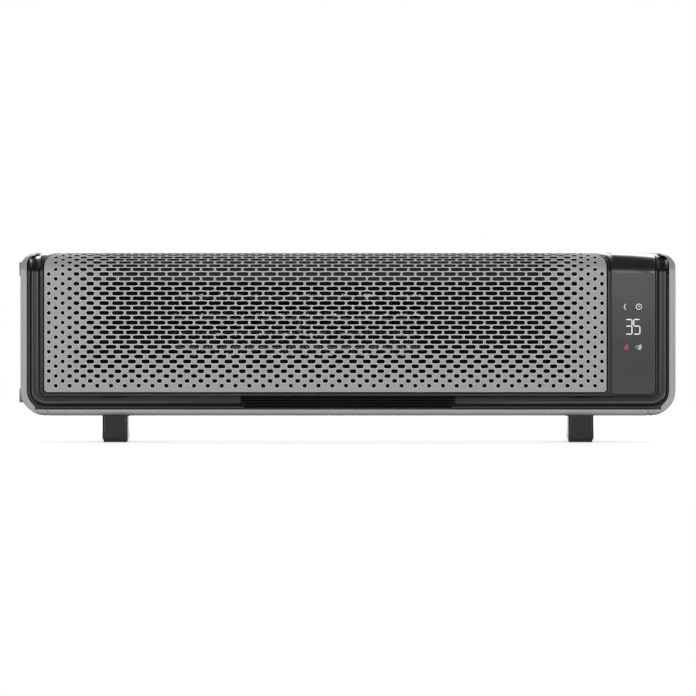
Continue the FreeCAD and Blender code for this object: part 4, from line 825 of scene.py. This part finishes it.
switch_mark("switch_bar", [SWITCH_BAR])
switch_mark("switch_ring", SWITCH_RING)


# Stage

FLOOR_RADIUS = 3.5
FLOOR_SIDES = 96
FLOOR_DULL, FLOOR_PALE = tone(60), tone(225)
GLOW_STRENGTHS = (0.6, 1.0)
GLOW_DISTANCES = (0.45, 1.3)


def floor_material():
    """A pale floor, white to the lens and in mirrors away from the object; other light sees it dull."""
    finish = Finish("floor")
    rays = finish.add("ShaderNodeLightPath").outputs
    mirrored = finish.maths("MAXIMUM", rays["Is Glossy Ray"], rays["Is Transmission Ray"])
    seen = finish.maths("MAXIMUM", rays["Is Camera Ray"], mirrored)
    away = finish.add("ShaderNodeVectorMath")
    away.operation = "LENGTH"
    finish.feed(away.inputs[0], finish.where)
    glow = finish.spread(away.outputs["Value"], *GLOW_STRENGTHS, *GLOW_DISTANCES)
    finish.set(
        Base_Color=finish.blend(seen, FLOOR_DULL, FLOOR_PALE),
        Roughness=0.9,
        Specular_IOR_Level=0.0,
        Emission_Color=(1, 1, 1, 1),
        Emission_Strength=finish.maths("MULTIPLY", seen, glow),
    )
    return finish.material


floor_edge = [(x, y, 0) for x, y in turn_points(0, 0, FLOOR_RADIUS, 0, 360, FLOOR_SIDES)[:-1]]
new_object("floor", floor_edge, [tuple(range(FLOOR_SIDES))], floor_material())


# Surroundings: grey levels at stops along the height, or along a direction from 0 to 1

FRONT_LEVELS = ((0.0, 0.42), (0.35, 0.36), (0.8, 0.1))
BACK_LEVELS = ((0.0, 1.0), (0.62, 1.0), (0.8, 0.1))
TOWARDS_BACK = ((0.0, 0.0), (0.3, 1.0))
TOWARDS_SIDES = ((0.5, 0.0), (0.85, 1.0))
SIDE_GREY = (0.12, 0.12, 0.12, 1)
WHITE = (1, 1, 1, 1)


class Sky(Nodes):
    """The surroundings, built up from ramps over the direction."""

    def __init__(self, name):
        self.world = bpy.data.worlds.new(name)
        super().__init__(self.world)
        around = self.add("ShaderNodeTexCoord").outputs["Generated"]
        self.direction = self.add("ShaderNodeSeparateXYZ", vector=around).outputs

    def ramp(self, value, stops):
        node = self.add("ShaderNodeValToRGB", fac=value)
        points = node.color_ramp.elements
        while len(points) < len(stops):
            points.new(0.5)
        for point, (position, level) in zip(points, stops):
            point.position = position
            point.color = (level, level, level, 1)
        return node.outputs["Color"]


def studio():
    """White behind the object, grey in front and dark at the sides and overhead; the lens sees white."""
    sky = Sky("studio")
    x, y, z = (sky.direction[axis] for axis in "XYZ")
    front = sky.ramp(z, FRONT_LEVELS)
    behind = sky.ramp(z, BACK_LEVELS)
    middle = sky.blend(sky.ramp(y, TOWARDS_BACK), front, behind)
    shell = sky.blend(sky.ramp(sky.maths("ABSOLUTE", x), TOWARDS_SIDES), middle, SIDE_GREY)
    to_lens = sky.add("ShaderNodeLightPath").outputs["Is Camera Ray"]
    sky.feed(sky.tree.nodes["Background"].inputs["Color"], sky.blend(to_lens, shell, WHITE))
    return sky.world


scene.world = studio()


# Lamps

LAMP_AIM = Vector((0, 0, 0.12))


def softbox(name, place, size, radiance):
    """A rectangular lamp that faces the object."""
    data = bpy.data.lights.new(name, "AREA")
    data.shape = "RECTANGLE"
    data.size, data.size_y = size
    data.energy = radiance * math.pi * size[0] * size[1]
    lamp = bpy.data.objects.new(name, data)
    lamp.location = place
    lamp.rotation_euler = (LAMP_AIM - Vector(place)).to_track_quat("-Z", "Y").to_euler()
    scene.collection.objects.link(lamp)


softbox("left_box", (-1.9, -2.1, 0.9), (0.8, 1.8), 6.5)
softbox("right_box", (1.9, -2.1, 0.9), (0.8, 1.8), 5.5)
softbox("front_box", (0.0, -4.0, 1.45), (3.0, 2.3), 2.5)
softbox("back_box", (0.0, 2.6, 1.6), (3.2, 1.2), 4.5)


# Camera

AIM = Vector((0.0, -0.06, 0.1036))
VIEW_DISTANCE = 14.0
VIEW_LIFT = math.radians(0.4)
FRAME_WIDTH = 0.765
SENSOR = 36.0

lens = bpy.data.cameras.new("camera")
lens.sensor_width = SENSOR
lens.lens = SENSOR * VIEW_DISTANCE / FRAME_WIDTH
lens.clip_end = 4 * VIEW_DISTANCE
camera = bpy.data.objects.new("camera", lens)
camera.location = AIM + VIEW_DISTANCE * Vector((0, -math.cos(VIEW_LIFT), math.sin(VIEW_LIFT)))
camera.rotation_euler = (AIM - camera.location).to_track_quat("-Z", "Y").to_euler()
scene.collection.objects.link(camera)
scene.camera = camera
